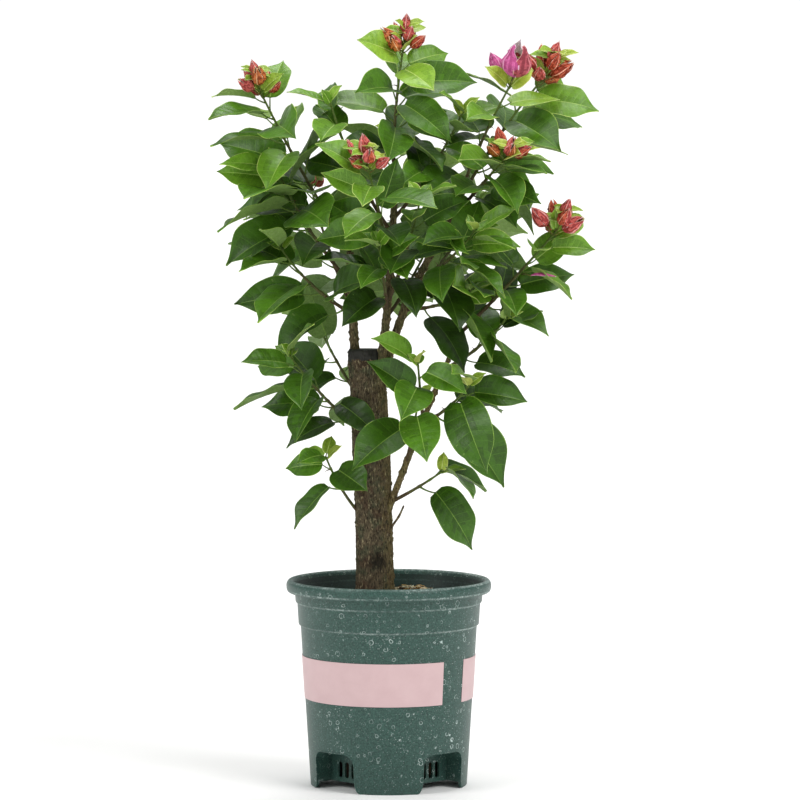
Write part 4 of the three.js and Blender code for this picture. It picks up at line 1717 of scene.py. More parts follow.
@dataclass(frozen=True)
class BladeForm:
    """How a kind of leaf blade is cut, ribbed and edged.

    Sizes are in millimetres where no share is named.
    """

    aspect: float  # its breadth, as a share of the length
    vein_pairs: int = 6
    vein_half: float = 0.004  # half the breadth of a side vein, as a share of the length
    sweep: float = 0.13  # how far the side veins run forwards, as a share of the length
    quilting: float = 0.0035  # rise of the blade between its veins, as a share of the length
    wave: float = 0.024  # height of the margin's waves, as a share of the length
    droop: float = 0.012  # of the margin, as a share of the length
    margin: float = 0.5  # breadth of the pale margin
    rib: float = 0.42  # half the breadth of the midrib at its base
    thickness: float = 0.34
    keel: float = 0.6  # depth of the midrib below the blade
    groove: float = 0.35  # depth of the midrib's groove above, as a share of the keel
    breadths: tuple[float, float] = (0.92, 1.24)  # how the breadth varies
    stations: tuple[float, ...] = (0.32, 0.66)  # corners between the midrib and the margin
    first_vein: float = 0.07
    vein_reach: float = 0.74
    tip_rows: tuple[float, ...] = (0.83, 0.88, 0.93, 0.97, 0.99)

    def rows(self) -> tuple[Array, Array, list[bool]]:
        """Lists the rows of the blade's mesh from its base to its tip.

        Returns:
            Their shares of the length, the rise of each from -1 to 1, and whether the strip
            from each row to the next is a vein.
        """
        pairs = self.vein_pairs
        veins = [self.first_vein + self.vein_reach * (k / pairs) ** 1.05 for k in range(pairs)]
        shares, rises, strips = [0.012, 0.04], [0.0, 0.3], [False, False]
        for at, onward in zip(veins, [*veins[1:], self.tip_rows[0]]):
            shares += [at - self.vein_half, at + self.vein_half]
            shares += [lerp(at, onward, 0.36), lerp(at, onward, 0.7)]
            rises += [-1.0, -1.0, 0.9, 0.9]
            strips += [True, False, False, False]
        rises += [-0.5, 0.4, 0.2, 0.0, 0.0]
        strips += [False] * (len(self.tip_rows) - 1)
        return np.array([*shares, *self.tip_rows]), np.array(rises), strips

    def skin(self, place: Place, draws: Stream) -> tuple[Array, list[Face], list[LeafPart]]:
        """Builds a blade as one closed skin, quilted between its veins and keeled below.

        Args:
            place: where it stands.
            draws: the stream that settles its breadth and the waves of its margin.

        Returns:
            Its points, its faces and the part that each face belongs to.
        """
        shares, rises, strips = self.rows()
        down = shares[:, None]
        widest = 0.5 * self.aspect * place.length * draws.between(*self.breadths)
        half = np.maximum(widest * outline_at(shares), 0.25)
        edge = np.clip(1 - self.margin / half, 0.72, 0.97)
        rib = np.clip(self.rib * (1.15 - shares) / half, 0.015, 0.3)
        right = [rib, *(rib + (edge - rib) * s for s in self.stations), edge, np.ones_like(edge)]
        aside = np.stack([-c for c in reversed(right)] + right, axis=1)
        reach = np.abs(aside)
        swept = np.minimum(down + self.sweep * np.sin(math.pi * shares)[:, None] * reach**1.15, 0.995)
        halves = widest * outline_at(swept) * aside
        bulge = np.sin(math.pi * np.clip(reach, 0, 1) ** 0.8) ** 0.8
        phases = [draws.between(0, math.tau) for _ in range(2)]
        turns, cup = draws.between(1.1, 2.2), draws.between(-0.02, 0.05)
        phase = np.where(aside < 0, phases[0], phases[1])
        waves = np.sin(math.tau * turns * swept + phase) * reach**2.2 * np.sin(math.pi * swept)
        raised = self.quilting * rises[:, None] * bulge + self.wave * waves + cup * reach**2
        raised = place.length * (raised - self.droop * reach**4)
        on_rib = reach <= rib[:, None] + 1e-9
        raised = raised - self.groove * self.keel * on_rib
        thick = self.thickness * (0.55 + 0.45 * (1 - reach)) + self.keel * (1.1 - down) * on_rib
        swept = swept - max(0.0, draws.between(-0.03, 0.075)) * reach**1.6 * np.exp(-down / 0.13)
        points, faces = closed_sheet(
            place.points(swept, halves, raised),
            place.points(swept, halves, raised - thick),
            place.point(0, 0, -0.2),
            place.point(1, 0, -0.1),
        )
        return points, faces, self._parts(shares, strips, draws.between(0, 50))

    def _parts(self, shares: Array, strips: Sequence[bool], seed: float) -> list[LeafPart]:
        """Deals the faces of a blade out to its parts, with darker patches that are partly a random
        mottle and partly painted shade, thickest along the midrib.

        Args:
            shares: the share of the length at each row.
            strips: whether the strip from each row to the next is a vein.
            seed: where in the noise the patches lie.

        Returns:
            The part of each face, in the order of closed_sheet().
        """
        side = [LeafPart.MARGIN] + [LeafPart.BLADE] * (len(self.stations) + 1)
        top = side + [LeafPart.MIDRIB] + side[::-1]
        bottom = [p if p is LeafPart.MIDRIB else LeafPart.UNDERSIDE for p in top]
        parts: list[LeafPart] = []
        for share, strip in zip(shares, strips):
            veined = [LeafPart.VEIN if strip and p is LeafPart.BLADE else p for p in top]
            for j, part in enumerate(veined):
                cloud = noise_at(share * 3.1 + seed, j * 0.55, 0.5)
                # Painted shade: blade faces nearer the midrib turn dark more often.
                if part is LeafPart.BLADE and cloud > 0.13 * abs(j - len(side)) - 0.27:
                    veined[j] = LeafPart.MOTTLE_AND_SHADE
                elif part is LeafPart.MARGIN and cloud > 0.12:
                    veined[j] = LeafPart.VEIN
            parts += veined + [LeafPart.MARGIN] + bottom + [LeafPart.MARGIN]
        columns = len(top) + 1
        for j in range(2 * columns):
            parts += [LeafPart.BLADE if j < columns else LeafPart.UNDERSIDE, LeafPart.MARGIN]
        return parts


LEAF_FORM = BladeForm(0.6)
YOUNG_FORM = BladeForm(0.56, vein_pairs=4, margin=0.4, rib=0.35, wave=0.02, keel=0.45)


@dataclass(frozen=True)
class LanternForm:
    """How three bracts draw together round young flowers, ribbed and keeled like a lantern."""

    radius: float  # of the lantern, as a share of its length
    opening: float  # how far the tips stand apart, as a share of its length
    narrowing: float = 0.3  # how much each tip draws in from its neighbours
    narrow_from: float = 0.7  # the share of the length where the tips start to part
    hollow: float = 0.3  # how far the seams lie inside the keels
    crinkle: float = 0.07  # how deep the ribs are pressed
    flutter: float = 0.12  # how far the edges wave
    crumple: float = 0.1  # how deep the skin between them is crumpled
    thickness: float = 0.28
    rows: int = 17
    stations: tuple[float, ...] = (0.06, 0.22, 0.4, 0.58, 0.76, 0.93, 1.0)  # from keel to edge
    ribs: tuple[float, ...] = (0.0, -0.16, 0.14, -0.16, 0.14, -0.16, 1.0)  # 0 is the edge, 1 the keel

    def bract(
        self, start: Array, axis: Array, outward: Array, length: float, draws: Stream
    ) -> tuple[Array, list[Face], list[BractPart]]:
        """Builds one of the three bracts as a closed skin.

        Args:
            start: the foot of the lantern.
            axis: the direction in which it closes.
            outward: where this bract's keel faces.
            length: its length.
            draws: the stream of its small differences.

        Returns:
            Its points, its faces and the part that each face belongs to.
        """
        sideways = np.cross(axis, outward)
        across = np.array([-v for v in reversed(self.stations)] + list(self.stations))
        shares = np.linspace(0.03, 0.985, self.rows)
        t, v = np.meshgrid(shares, across, indexing="ij")
        profile = np.sin(math.pi * np.clip(t, 0, 1) ** 0.78) ** 0.85
        drawn_in = 1 - self.narrowing * smooth_step(t, self.narrow_from, 1.02)
        spread = math.radians(draws.between(62, 72)) * v * drawn_in
        out = self.radius * (profile * (1 - self.hollow * np.abs(v) ** 1.4) + 0.05)
        out = out + self.opening * smooth_step(t, 0.6, 1.0) ** 1.2
        ripple = np.cos(5.4 * math.pi * v) * np.sin(math.pi * t)
        wave = np.sin(math.tau * (2.2 * t + draws.next())) * np.abs(v) ** 3
        seed = draws.between(0, 50)
        crumples = np.array([[noise_at(7 * a, 3.5 * b, seed) for b in across] for a in shares])
        relief = self.crinkle * ripple + self.flutter * wave + self.crumple * crumples
        out = out + self.radius * relief
        rise = t * (1 - 0.1 * np.abs(v)) + draws.between(-0.1, 0.1) * t * v
        spoke = outward * np.cos(spread)[..., None] + sideways * np.sin(spread)[..., None]
        above = start + axis * (length * rise)[..., None] + spoke * (length * out)[..., None]
        below = above - spoke * self.thickness
        tip_out = self.radius * 0.05 + self.opening * draws.between(0.9, 1.2)
        tip = start + axis * length * draws.between(1.0, 1.08) + outward * length * tip_out
        points, faces = closed_sheet(above, below, start + outward * 0.3, tip)
        return points, faces, self._parts(crumples)

    def _parts(self, crumples: Array) -> list[BractPart]:
        """Tells which part of the bract each face of its skin belongs to.

        Args:
            crumples: how far each point of its upper face is crumpled outwards, row by row.

        Returns:
            The parts, in the order of the faces.
        """
        ribs = self.ribs + self.ribs[-2::-1]
        parts = []
        for row in crumples[:-1]:
            for rib, raised in zip(ribs, row):
                if rib in (0.0, 1.0):
                    parts.append(BractPart.KEEL if rib else BractPart.EDGE)
                else:
                    # Raised skin takes the ridge colour as a painted highlight, and sunken skin the valley
                    # colour as painted shade.
                    parts.append(BractPart.LIT_RIDGE if rib + raised > 0 else BractPart.SHADED_VALLEY)
            parts += [BractPart.EDGE] + [BractPart.LINING] * len(ribs) + [BractPart.EDGE]
        return parts + [BractPart.LIT_RIDGE, BractPart.EDGE] * (4 * len(self.stations))


CLOSED_LANTERN = LanternForm(0.275, 0.0, crinkle=0.09, crumple=0.13)
PARTING_LANTERN = LanternForm(0.3, 0.06, narrowing=0.55, crinkle=0.09, crumple=0.13)
OPEN_LANTERN = LanternForm(0.42, 0.13, 0.62, 0.46, hollow=0.1, crinkle=0.04, crumple=0.07)


# --- shoots


@dataclass(frozen=True)
class Shoot:
    """A leafy shoot, as it grows from its limb.

    at is the share of the limb where it starts, reach its growing tip, bow how far its middle
    is pushed, leaf the length of its largest leaf, turn the bearing of its first leaf, blooms
    its number of bract clusters, bloom their size, and bare the share without leaves.
    """

    name: str
    limb: str
    at: float
    reach: tuple[float, float, float]
    bow: tuple[float, float, float]
    leaves: int
    leaf: float
    turn: float
    seed: int
    blooms: int = 0
    bloom: float = 1.0
    bare: float = 0.28


SHOOTS = (
    Shoot("top", "limb_middle", 1, (12.5, -4, 612), (-7, 0, 0), 16, 60, 200, 3, 8),
    Shoot("left_high", "limb_left", 1, (-106, -18, 576), (-4, 0, -2), 15, 64, 165, 5, 7),
    Shoot("right_high", "limb_right", 0.84, (130, 20, 588), (-10, 8, 4), 14, 64, 20, 7, 9, 1.25),
    Shoot("right_top", "limb_right", 0.92, (100, -16, 580), (-6, -4, 2), 6, 56, 190, 107, 3, 1.6),
    Shoot("right_middle", "limb_right", 1, (95, -58, 520), (2, -6, 4), 11, 54, 300, 11, 7),
    Shoot("front", "limb_middle", 0.62, (-17, -98, 514), (6, -10, -6), 11, 56, 250, 13, 6),
    Shoot("right_low", "branch_low", 1, (138, -26, 461), (0, 0, -4), 11, 49, 345, 17, 7, 1.1),
    Shoot("left_middle", "limb_left", 0.7, (-92, -22, 512), (-6, 0, -8), 10, 70, 160, 19),
    Shoot("left_low", "limb_left", 0.45, (-88, -30, 446), (-6, -4, -8), 7, 66, 200, 71, bare=0.1),
    Shoot("top_left", "limb_middle", 0.84, (-48, -26, 566), (-8, -2, -6), 9, 56, 178, 73),
    Shoot("top_right", "limb_middle", 0.92, (60, -16, 556), (4, -2, -8), 10, 58, 20, 101),
    Shoot("centre_high", "limb_middle", 0.5, (26, -70, 488), (2, -8, -6), 7, 56, 270, 79),
    Shoot("centre", "limb_middle", 0.46, (-8, -62, 450), (2, -6, -8), 6, 52, 220, 23),
    Shoot("front_right", "limb_right", 0.6, (70, -74, 462), (2, -6, -8), 10, 56, 290, 29),
    Shoot("inner_right", "limb_right", 0.45, (68, -24, 412), (2, -4, -8), 6, 60, 340, 83),
    Shoot("low_left", "trunk", 0.64, (-82, -14, 358), (-2, 0, -10), 10, 60, 205, 31),
    Shoot("foot_left", "trunk", 0.27, (-52, -14, 274), (-6, 0, -6), 4, 50, 215, 37, bare=0.6),
    Shoot("low_right", "branch_low", 0.5, (66, -36, 334), (2, -4, -6), 5, 68, 345, 41),
    Shoot("low_middle", "branch_low", 0.52, (24, -44, 352), (0, -6, -4), 3, 62, 240, 103, bare=0.6),
    Shoot("low_front", "branch_low", 0.3, (24, -40, 320), (0, -6, -4), 3, 74, 190, 43, bare=0.5),
    Shoot("foot_right", "branch_low", 0.1, (44, -20, 262), (0, -2, -2), 3, 68, 350, 89, bare=0.55),
    Shoot("side_right", "branch_low", 0.8, (96, -28, 388), (4, -4, -6), 5, 50, 0, 47),
    Shoot("back_left", "limb_left", 0.5, (-66, 98, 494), (-4, 8, -6), 11, 62, 110, 53, 4),
    Shoot("back_middle", "limb_middle", 0.6, (4, 118, 528), (0, 10, -6), 12, 62, 80, 59, 5),
    Shoot("back_right", "limb_right", 0.5, (80, 108, 480), (2, 8, -6), 10, 62, 50, 61),
    Shoot("back_low", "trunk", 0.74, (-60, 78, 378), (0, 6, -8), 7, 58, 100, 67),
    Shoot("back_centre", "limb_middle", 0.42, (34, 92, 446), (0, 6, -8), 9, 60, 60, 97),
)


@dataclass(frozen=True)
class LeafRule:
    """The rule by which leaves stand on their shoots."""

    petiole: float = 0.24  # a stalk's length, as a share of its blade's
    outreach: float = 0.55  # how much a leaf points away from the middle of the bush
    outward: float = 0.55  # how much it faces away from there
    sideward: float = 0.6  # how much it faces the front or the back
    hang: float = 1.1  # how much the lowest leaves hang
    back_from: float = 40.0  # leaves further back than this face the back
    lowest: float = 190.0
    highest: float = 620.0
    last_leaf: float = 0.97  # the share of the shoot where its last leaf stands
    bare_length: float = 5.0  # how far out of the limb the first one stands
    turns: tuple[float, ...] = (0, 24, -24, 48, -48, 75, -75, 105, -105)
    held_within: float = 0.25  # a leaf's tip lies this close to a corner of its CAD node

    def place(
        self, node: Array, along: Array, bearing: float, age: float, size: float, draws: Sequence[float]
    ) -> Place:
        """Works out where a leaf stands.

        Args:
            node: the point of the twig that carries it.
            along: the twig's direction there.
            bearing: where it points, in degrees round +Z from +X.
            age: 0 for the oldest leaf of the shoot and 1 at the tip.
            size: its length before its own variation.
            draws: six numbers from 0 to 1.

        Returns:
            The leaf's place.
        """
        outward = unit(vec(node[0], node[1], 0))
        level = unit(level_at(math.radians(bearing + 20 * (draws[0] - 0.5))) + outward * self.outreach)
        sideways = unit(level - along * level.dot(along))
        stalk = unit(along * (0.45 + 0.6 * age) + sideways * 0.85)
        length = size * (0.86 + 0.28 * draws[1])
        stalk_end = node + stalk * self.petiole * length
        height = (stalk_end[2] - self.lowest) / (self.highest - self.lowest)
        side = self.sideward * (-1 if stalk_end[1] < self.back_from else 1)
        facing = vec(0.5 * (draws[3] - 0.5), side * (0.35 + 1.1 * draws[4]), 0.35 + 1.2 * height)
        facing = unit(facing + outward * self.outward * (0.3 + 1.4 * draws[2]))
        level = level - vec(0, 0, self.hang * (1 - height) * (1 - height))
        direction = unit(level - facing * level.dot(facing))
        direction = unit(direction * (1 - 0.45 * age * age) + along * 0.45 * age * age)
        normal = unit(facing - direction * facing.dot(direction))
        across = np.cross(normal, direction)
        bend = math.radians(18 + 34 * draws[5] * (1 - 0.6 * age))
        fold = math.radians(3 + 9 * draws[2])
        return Place(node, stalk_end, direction, normal, across, length, bend, fold)


def dealt(tint: int, parts: Sequence[LeafPart | BractPart]) -> list[int]:
    """Gives the number of each part's finish, in pieces that hold every part of every tint."""
    order = list(type(parts[0]))
    return [tint * len(order) + order.index(part) for part in parts]


@dataclass
class Foliage:
    """The twigs, leaves and bracts of every shoot."""

    rule: LeafRule = field(default_factory=LeafRule)
    twig_radii: tuple[float, float] = (1.7, 0.75)
    twig_steps: int = 44
    twig_corners: int = 9
    woody: float = 0.34  # the twig is woody up to this share of its length
    ripening: float = 0.68  # and turns green from this one on
    knuckle: float = 0.28  # how much it swells where a leaf stands
    stalk_corners: int = 6
    stalk_radius: float = 0.58
    thorn_share: float = 0.45
    thorn_radii: tuple[float, ...] = (0.65, 0.5, 0.36, 0.22, 0.08)
    thorn_corners: int = 5
    grown: float = 0.94  # a full leaf's length, as a share of the length the rule gives it
    roll: float = 34.0  # how far a blade may be turned about its midrib, in degrees
    lift: float = 29.0  # and how far the tip of one in the crown may be lifted
    lift_up: tuple[float, float] = (290.0, 380.0)  # heights between which that lift sets in
    lift_out: tuple[float, float] = (450.0, 560.0)  # and between which nine tenths of it go
    open_from: float = 1.5  # clusters from this size on are the open magenta ones
    ripe_from: float = 1.35  # those from this size on have coloured but not opened
    closed_most: float = 1.25  # and are drawn at this size
    cluster_stalk: float = 9.0
    cluster_length: float = 19.8
    cluster_spread: float = 1.7
    cluster_spacing: float = 0.01  # as a share of the shoot
    hero_reach: float = 1.06  # how much longer the pale bract of an open cluster is
    piece_limit: int = 165_000
    leaves: list[Skin] = field(default_factory=lambda: [Skin()])
    leaf_nodes: list[set[str]] = field(default_factory=lambda: [set()])
    twigs: Skin = field(default_factory=Skin)
    bracts: Skin = field(default_factory=Skin)
    bract_nodes: set[str] = field(default_factory=set)

    def build(self) -> list[Piece]:
        """Grows every shoot and joins each kind of growth into its own pieces.

        Returns:
            The pieces.
        """
        curves = {limb.name: limb for limb in (TRUNK, *LIMBS)}
        for shoot in SHOOTS:
            self._grow(shoot, curves[shoot.limb])
        self._lone_bract()
        leaf_parts = [t.finish(part).material() for t in TINTS for part in LeafPart]
        bract_parts = [t.finish(part).material() for t in BRACTS for part in BractPart]
        stems = [f.material() for f in STEM_FINISHES]
        nodes = [f"shoot_{shoot.name}" for shoot in SHOOTS]
        pieces = []
        for number, (skin, held) in enumerate(zip(self.leaves, self.leaf_nodes), 1):
            piece = skin.piece(f"leaves_{number}", leaf_parts)
            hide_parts(*sorted(held))
            pieces.append(piece)
        twigs = self.twigs.piece("twigs", stems)
        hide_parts(*nodes)
        bracts = self.bracts.piece("bracts", bract_parts)
        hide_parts(*sorted(self.bract_nodes))
        pieces += [twigs, bracts]
        return pieces

    def _grow(self, shoot: Shoot, limb: Limb) -> None:
        """Grows one shoot.

        Args:
            shoot: the shoot.
            limb: what it grows from.
        """
        node_name = f"shoot_{shoot.name}"
        corners = [tuple(v.co / MM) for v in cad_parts[node_name].data.vertices]
        held = KDTree(len(corners))
        for number, corner in enumerate(corners):
            held.insert(corner, number)
        held.balance()
        foot, reach = limb.curve.point(shoot.at), vec(*shoot.reach)
        curve = Curve(foot, (foot + reach) / 2 + vec(*shoot.bow), reach)
        first = max(shoot.bare, (limb.radii[0] + self.rule.bare_length) / curve.length())
        ages = [lerp(first, self.rule.last_leaf, i / (shoot.leaves - 1)) for i in range(shoot.leaves)]
        self._twig(curve, ages, shoot)
        if self.leaves[-1].triangles() > self.piece_limit:
            self.leaves.append(Skin())
            self.leaf_nodes.append(set())
        self.leaf_nodes[-1].add(node_name)
        draws, own = Stream(shoot.seed), Stream(shoot.seed + 500)
        for i, age in enumerate(ages):
            numbers = [draws.next() for _ in range(6)]
            place = self._held_place(shoot, curve, age, i, numbers, held)
            if place is not None:
                roll = math.radians(own.between(-self.roll, self.roll))
                height = place.node[2]
                settled = 0.9 * smooth_step(height, *self.lift_out)
                raised = float(smooth_step(height, *self.lift_up) * (1 - settled))
                lift = math.radians(self.lift * raised * own.between(0.3, 1))
                place = replace(place, length=self.grown * place.length)
                place = place.turned(roll, lift, own.between(0, 0.32))
                self._leaf(place, LEAF_FORM, self._tint(age, shoot, own), own)
        self._tip_leaves(shoot, curve, own)
        if shoot.blooms:
            self.bract_nodes.add(node_name)
            self._clusters(shoot, curve)

    def _held_place(
        self, shoot: Shoot, curve: Curve, age: float, index: int, numbers: Sequence[float], held: KDTree
    ) -> Place | None:
        """Finds the turned place of a leaf that its CAD node holds.

        Args:
            shoot: the shoot.
            curve: its curve.
            age: the leaf's share of the shoot.
            index: the leaf's number.
            numbers: the leaf's own draws.
            held: the corners of the CAD node.

        Returns:
            The place, or None where the leaf had no room.
        """
        size = shoot.leaf * (0.8 + 0.5 * age - 0.72 * age**3)
        node, along = curve.point(age), curve.tangent(age)
        for turned in self.rule.turns:
            bearing = shoot.turn + GOLDEN_TURN * index + turned
            place = self.rule.place(node, along, bearing, age, size, numbers)
            if held.find(place.point(1, 0, 0))[2] < self.rule.held_within:
                return place
        return None

    def _tint(self, age: float, shoot: Shoot, draws: Stream) -> int:
        """Deals a leaf its tint by its age and its height.

        Args:
            age: the leaf's share of the shoot.
            shoot: the shoot.
            draws: the shoot's own stream.

        Returns:
            The number of the tint.
        """
        bloomed = 0.12 if shoot.blooms else 0.0
        height = (shoot.reach[2] - 250) / 360
        value = 0.1 + 0.26 * height + 0.4 * age**2 + bloomed * age + 0.4 * (draws.next() - 0.5)
        grown = len(MATURE) + len(FRESH)
        return max(0, min(grown - 1, int(value * grown)))

    def _leaf(self, place: Place, form: BladeForm, tint: int, draws: Stream) -> None:
        """Adds a leaf with its stalk, which is arched a little and swollen at its foot.

        Args:
            place: where it stands.
            form: how its blade is cut.
            tint: the number of its tint.
            draws: the stream of its small differences.
        """
        points, faces, parts = form.skin(place, draws)
        self.leaves[-1].add(points, faces, dealt(tint, parts))
        middle = (place.node + place.stalk_end) / 2 + vec(0, 0, -0.04 * place.length)
        curve = Curve(place.node, middle, place.stalk_end + place.direction * 0.02 * place.length)
        girth = self.stalk_radius * (0.6 + place.length / 110)
        radii = [girth * (1.25 - 0.3 * s + 0.5 * math.exp(-s * 9)) for s in np.linspace(0, 1, 6)]
        self.twigs.add(*tube(curve.path(6), radii, self.stalk_corners), Stem.LEAF_STALK.value)

    def _twig(self, curve: Curve, ages: Sequence[float], shoot: Shoot) -> None:
        """Adds a shoot's twig, knuckled where its leaves stand, with thorns beside them.

        Args:
            curve: the shoot's curve.
            ages: the share of its length where each leaf stands.
            shoot: the shoot.
        """
        first = ages[0]
        span = (self.rule.last_leaf - first) / max(1, shoot.leaves - 1)
        radii = []
        for share in np.linspace(0, 1, self.twig_steps):
            radius = lerp(*self.twig_radii, share)
            if share > first - span / 2:
                at = ((share - first) / span) % 1.0
                radius *= 1 + self.knuckle * math.exp(-((min(at, 1 - at) * 6) ** 2))
            radii.append(radius)
        points, faces = tube(curve.path(self.twig_steps), radii, self.twig_corners)
        finishes = []
        for number in range(len(faces)):
            share = min(1.0, number / (self.twig_corners * (self.twig_steps - 1)))
            green = Stem.RIPENING if share < self.ripening else Stem.GREEN
            finishes.append((Stem.WOODY if share < self.woody else green).value)
        self.twigs.add(points, faces, finishes)
        draws = Stream(shoot.seed + 700)
        for i, share in enumerate(ages):
            bearing = math.radians(shoot.turn + GOLDEN_TURN * i + draws.between(30, 80))
            if draws.next() < self.thorn_share and share < 0.85:
                self._thorn(curve, share, bearing, draws.between(3.5, 6.5))

    def _thorn(self, curve: Curve, share: float, bearing: float, length: float) -> None:
        """Adds one thorn, hooked a little towards its shoot's foot.

        Args:
            curve: the shoot's curve.
            share: where it stands on it.
            bearing: where it points, in radians.
            length: its length.
        """
        node, along = curve.point(share), curve.tangent(share)
        spoke = level_at(bearing)
        spoke = unit(spoke - along * along.dot(spoke))
        hook = Curve(node, node + (spoke + along * 0.5) * length * 0.6, node + spoke * length)
        path = hook.path(len(self.thorn_radii))
        self.twigs.add(*tube(path, self.thorn_radii, self.thorn_corners), Stem.THORN.value)

    def _young_leaf(
        self, node: Array, direction: Array, length: float, draws: Stream, greened: bool = False
    ) -> None:
        """Adds one small young leaf that faces up and a little forwards.

        Args:
            node: the point that carries it.
            direction: where it points.
            length: the length of its blade.
            draws: the stream of its small differences.
            greened: whether it has turned green already.
        """
        lean = draws.between(0.3, 1.5) * (-1 if node[1] < self.rule.back_from else 1)
        facing = unit(vec(draws.between(-0.4, 0.4), lean, 1) + direction * 0.1)
        normal = unit(facing - direction * facing.dot(direction))
        across = np.cross(normal, direction)
        bend, fold = math.radians(draws.between(10, 45)), math.radians(draws.between(8, 26))
        stalk_end = node + direction * 0.16 * length
        place = Place(node, stalk_end, direction, normal, across, length, bend, fold)
        grown = len(MATURE) + len(FRESH)
        tint = grown + int(draws.next() * len(YOUNG))
        if draws.next() < (0.8 if greened else 0.25):
            tint = grown - (1 + int(greened and draws.next() < 0.5))
        self._leaf(place, YOUNG_FORM, tint, draws)

    def _tip_leaves(self, shoot: Shoot, curve: Curve, draws: Stream) -> None:
        """Adds the small young leaves round a shoot's growing tip.

        Args:
            shoot: the shoot.
            curve: its curve.
            draws: the shoot's own stream.
        """
        tip, along = curve.point(1), curve.tangent(1)
        for i in range(4 if shoot.blooms else 3):
            spoke = level_at(math.radians(shoot.turn + GOLDEN_TURN * (i + shoot.leaves)))
            direction = unit(along * 0.8 + spoke * draws.between(0.5, 1.3) + vec(0, 0, 0.25))
            length = draws.between(15, 27) if shoot.blooms else draws.between(11, 20)
            self._young_leaf(curve.point(1 - 0.012 * i), direction, length, draws, not shoot.blooms)
        hearts = int(3 + shoot.blooms * 0.6) if shoot.blooms else 0
        for i in range(hearts):
            spoke = level_at(math.radians(77 + shoot.turn + GOLDEN_TURN * i))
            crown = tip + unit(along + vec(0, 0, 0.6)) * (draws.between(8, 17) * shoot.bloom)
            stalk = np.array([tip, (tip + crown) / 2 + spoke * 0.8, crown])
            self.twigs.add(*tube(stalk, [0.7, 0.55, 0.45], self.stalk_corners), Stem.GREEN.value)
            direction = unit(spoke * draws.between(0.8, 1.6) + vec(0, 0, draws.between(0.0, 0.55)))
            self._young_leaf(crown, direction, draws.between(9, 19), draws)

    def _clusters(self, shoot: Shoot, curve: Curve) -> None:
        """Adds the bract clusters at a shoot's tip, each three bracts folded to a lantern.

        Args:
            shoot: the shoot.
            curve: its curve.
        """
        draws, own = Stream(shoot.seed + 1000), Stream(shoot.seed + 1500)
        along = curve.tangent(1)
        for i in range(shoot.blooms):
            foot = curve.point(1 - self.cluster_spacing * i)
            angle = math.radians(GOLDEN_TURN * i + 20 * draws.next())
            spread = self.cluster_spread * math.sqrt(i / shoot.blooms)
            size = shoot.bloom * (1.1 - 0.3 * draws.next())
            axis = unit(level_at(angle) * spread + vec(0, 0, 0.5) + along * 0.6)
            start = foot + axis * self.cluster_stalk * size
            path = np.array([foot, (foot + start) / 2 + vec(0, 0, -0.6), start])
            self.twigs.add(*tube(path, [0.6, 0.45, 0.7], self.stalk_corners), Stem.BRACT_STALK.value)
            self._lantern(start, axis, size, own)

    def _lantern(self, start: Array, axis: Array, size: float, draws: Stream) -> None:
        """Adds one cluster of three bracts.

        Args:
            start: the foot of the bracts.
            axis: the direction in which they close.
            size: their size.
            draws: the stream of their small differences.
        """
        is_open = size > self.open_from
        if is_open:
            axis = unit(axis + vec(0, 0.3, 1.1))
        side = unit(np.cross(axis, vec(0.2, 0.3, 1)))
        other = np.cross(axis, side)
        pick, parting, turn = draws.next(), draws.next(), draws.between(0, 2)
        if is_open:
            turn = math.atan2(other[1], side[1])  # the first bract stands at the back
        form = OPEN_LANTERN if is_open else PARTING_LANTERN if parting < 0.4 else CLOSED_LANTERN
        drawn = size if is_open else min(size, self.closed_most)
        length = self.cluster_length * drawn * draws.between(0.8, 0.94)
        for k in range(3):
            angle = turn + math.tau * k / 3
            outward = side * math.cos(angle) + other * math.sin(angle)
            if is_open:
                tint = PALE_ROSE if k == 0 else DUSKY if outward[0] > 0 else MAGENTA
            elif size > self.ripe_from:
                tint = MAGENTA if pick < 0.5 else ROSE
            else:
                tint = YOUNG_BRACTS[int(min(len(YOUNG_BRACTS) - 0.1, pick * 5 + draws.next()))]
            reach = length * (self.hero_reach if is_open and k == 0 else 1)
            points, faces, parts = form.bract(start, axis, outward, reach, draws)
            self.bracts.add(points, faces, dealt(tint, parts))

    def _lone_bract(self) -> None:
        """Adds the one fallen-open pink bract that hangs below the lowest cluster."""
        node, start = vec(109.0, -21.5, 424.5), vec(116.0, -38.0, 424.0)
        path = np.array([node, (node + start) / 2 + vec(0, 0, 1), start])
        self.twigs.add(*tube(path, [0.6, 0.5, 0.5], self.stalk_corners), Stem.BRACT_STALK.value)
        form = LanternForm(0.14, 0.02, hollow=0.5, crinkle=0.1)
        points, faces, parts = form.bract(start, unit(vec(1, -0.1, -0.05)), vec(0, 0, 1), 21.0, Stream(5))
        self.bracts.add(points, faces, dealt(MAGENTA, parts))


# --- studio


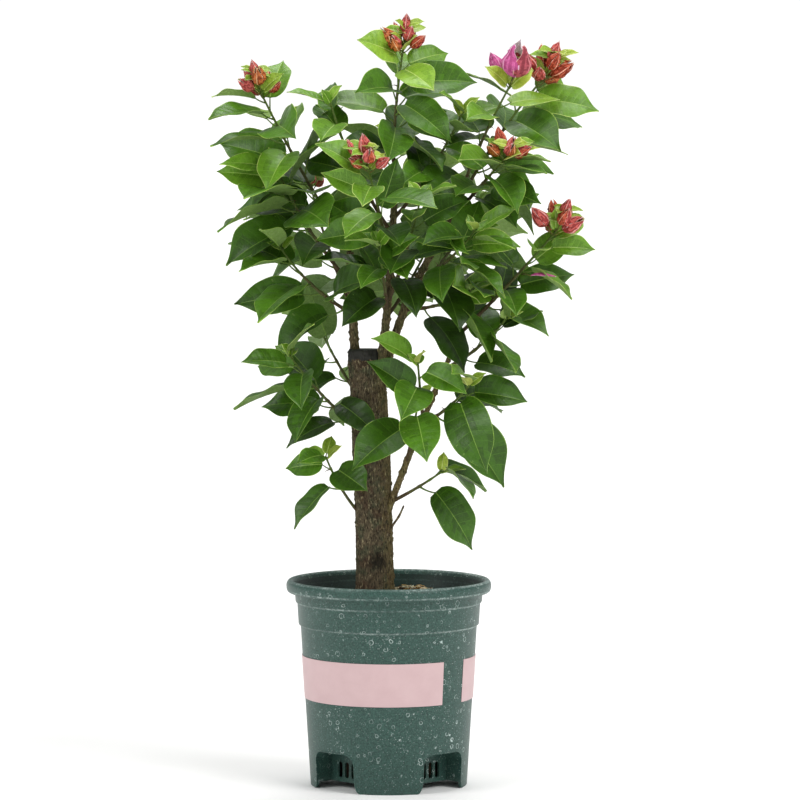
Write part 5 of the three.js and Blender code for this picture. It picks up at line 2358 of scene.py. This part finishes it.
@dataclass
class Studio:
    """The pale floor, the soft lights and the camera."""

    camera_place: tuple[float, float, float] = (9.3, -3715.0, 566.5)
    pitch: float = 3.8
    lens: float = 202.5
    floor_size: float = 600.0  # in metres
    room_low: float = 1.05  # brightness of the white walls at eye level
    room_high: float = 0.34  # and of the ceiling

    def build(self) -> None:
        """Builds the floor, the lights and the camera."""
        self._floor()
        self._room()
        self._bank("right light bank", 50, 46, 1.6)
        self._bank("left light bank", -60, 40, 1.0)
        self._bank("top light bank", 170, 70, 1.35)
        camera = bpy.data.cameras.new("camera")
        camera.lens = self.lens
        camera.sensor_width = 36.0
        camera.clip_end = 2 * self.floor_size
        thing = bpy.data.objects.new("camera", camera)
        thing.location = [c * MM for c in self.camera_place]
        thing.rotation_euler = (math.radians(90 - self.pitch), 0, 0)
        bpy.context.scene.collection.objects.link(thing)
        bpy.context.scene.camera = thing
        bpy.context.scene.view_settings.view_transform = "Standard"

    def _floor(self) -> None:
        """Lays the pale floor."""
        half = self.floor_size / 2 / MM
        corners = np.array([(-half, -half, 0), (half, -half, 0), (half, half, 0), (-half, half, 0)])
        floor = bare_object("floor", corners, [(0, 1, 2, 3)])
        paper = {"Base Color": linear("#fafaf9"), "Roughness": 0.9, "Specular IOR Level": 0.1}
        floor.data.materials.append(new_material("floor paper", paper))

    def _room(self) -> None:
        """Lights the room: white walls at eye level and a dimmer ceiling."""
        world = bpy.data.worlds.new("room")
        world.use_nodes = True
        tree = world.node_tree
        back = next(n for n in tree.nodes if n.type == "BACKGROUND")
        back.inputs["Color"].default_value = linear("#ffffff")
        towards = add_node(tree, "TexCoord")["Generated"]
        height = add_node(tree, "SeparateXYZ", {}, {0: towards})[2]
        span = {"From Min": 0.04, "From Max": 0.3, "To Min": self.room_low, "To Max": self.room_high}
        tree.links.new(add_node(tree, "MapRange", span, {"Value": height})[0], back.inputs["Strength"])
        bpy.context.scene.world = world

    def _bank(self, name: str, bearing: float, height: float, power: float) -> None:
        """Hangs a wide bank of soft light far from the plant.

        Args:
            name: its name.
            bearing: where it hangs, in degrees from the front towards the right.
            height: its angle above the floor, in degrees.
            power: the light it sheds, in watts per square metre.
        """
        light = bpy.data.lights.new(name, "SUN")
        light.angle = math.radians(32)
        light.energy = power
        thing = bpy.data.objects.new(name, light)
        turn, up = math.radians(bearing), math.radians(height)
        place = Vector((math.sin(turn) * math.cos(up), -math.cos(turn) * math.cos(up), math.sin(up)))
        thing.rotation_euler = (-place).to_track_quat("-Z", "Y").to_euler()
        thing.location = place * 3
        bpy.context.scene.collection.objects.link(thing)


def report(pieces: Sequence[Piece]) -> None:
    """Logs each piece with its number of faces."""
    for piece in pieces:
        LOG.info("%s: %d faces", piece.name, len(piece.data.polygons))


def main() -> None:
    """Builds the plant piece by piece, then the studio."""
    logging.basicConfig(level=logging.INFO, format="%(name)s: %(message)s")
    pot = Pot()
    report([pot.build()])
    report(Labels(pot).build())
    report(Soil(pot).build())
    report(Wood().build())
    report(Foliage().build())
    Studio().build()


if __name__ == "__main__":
    main()
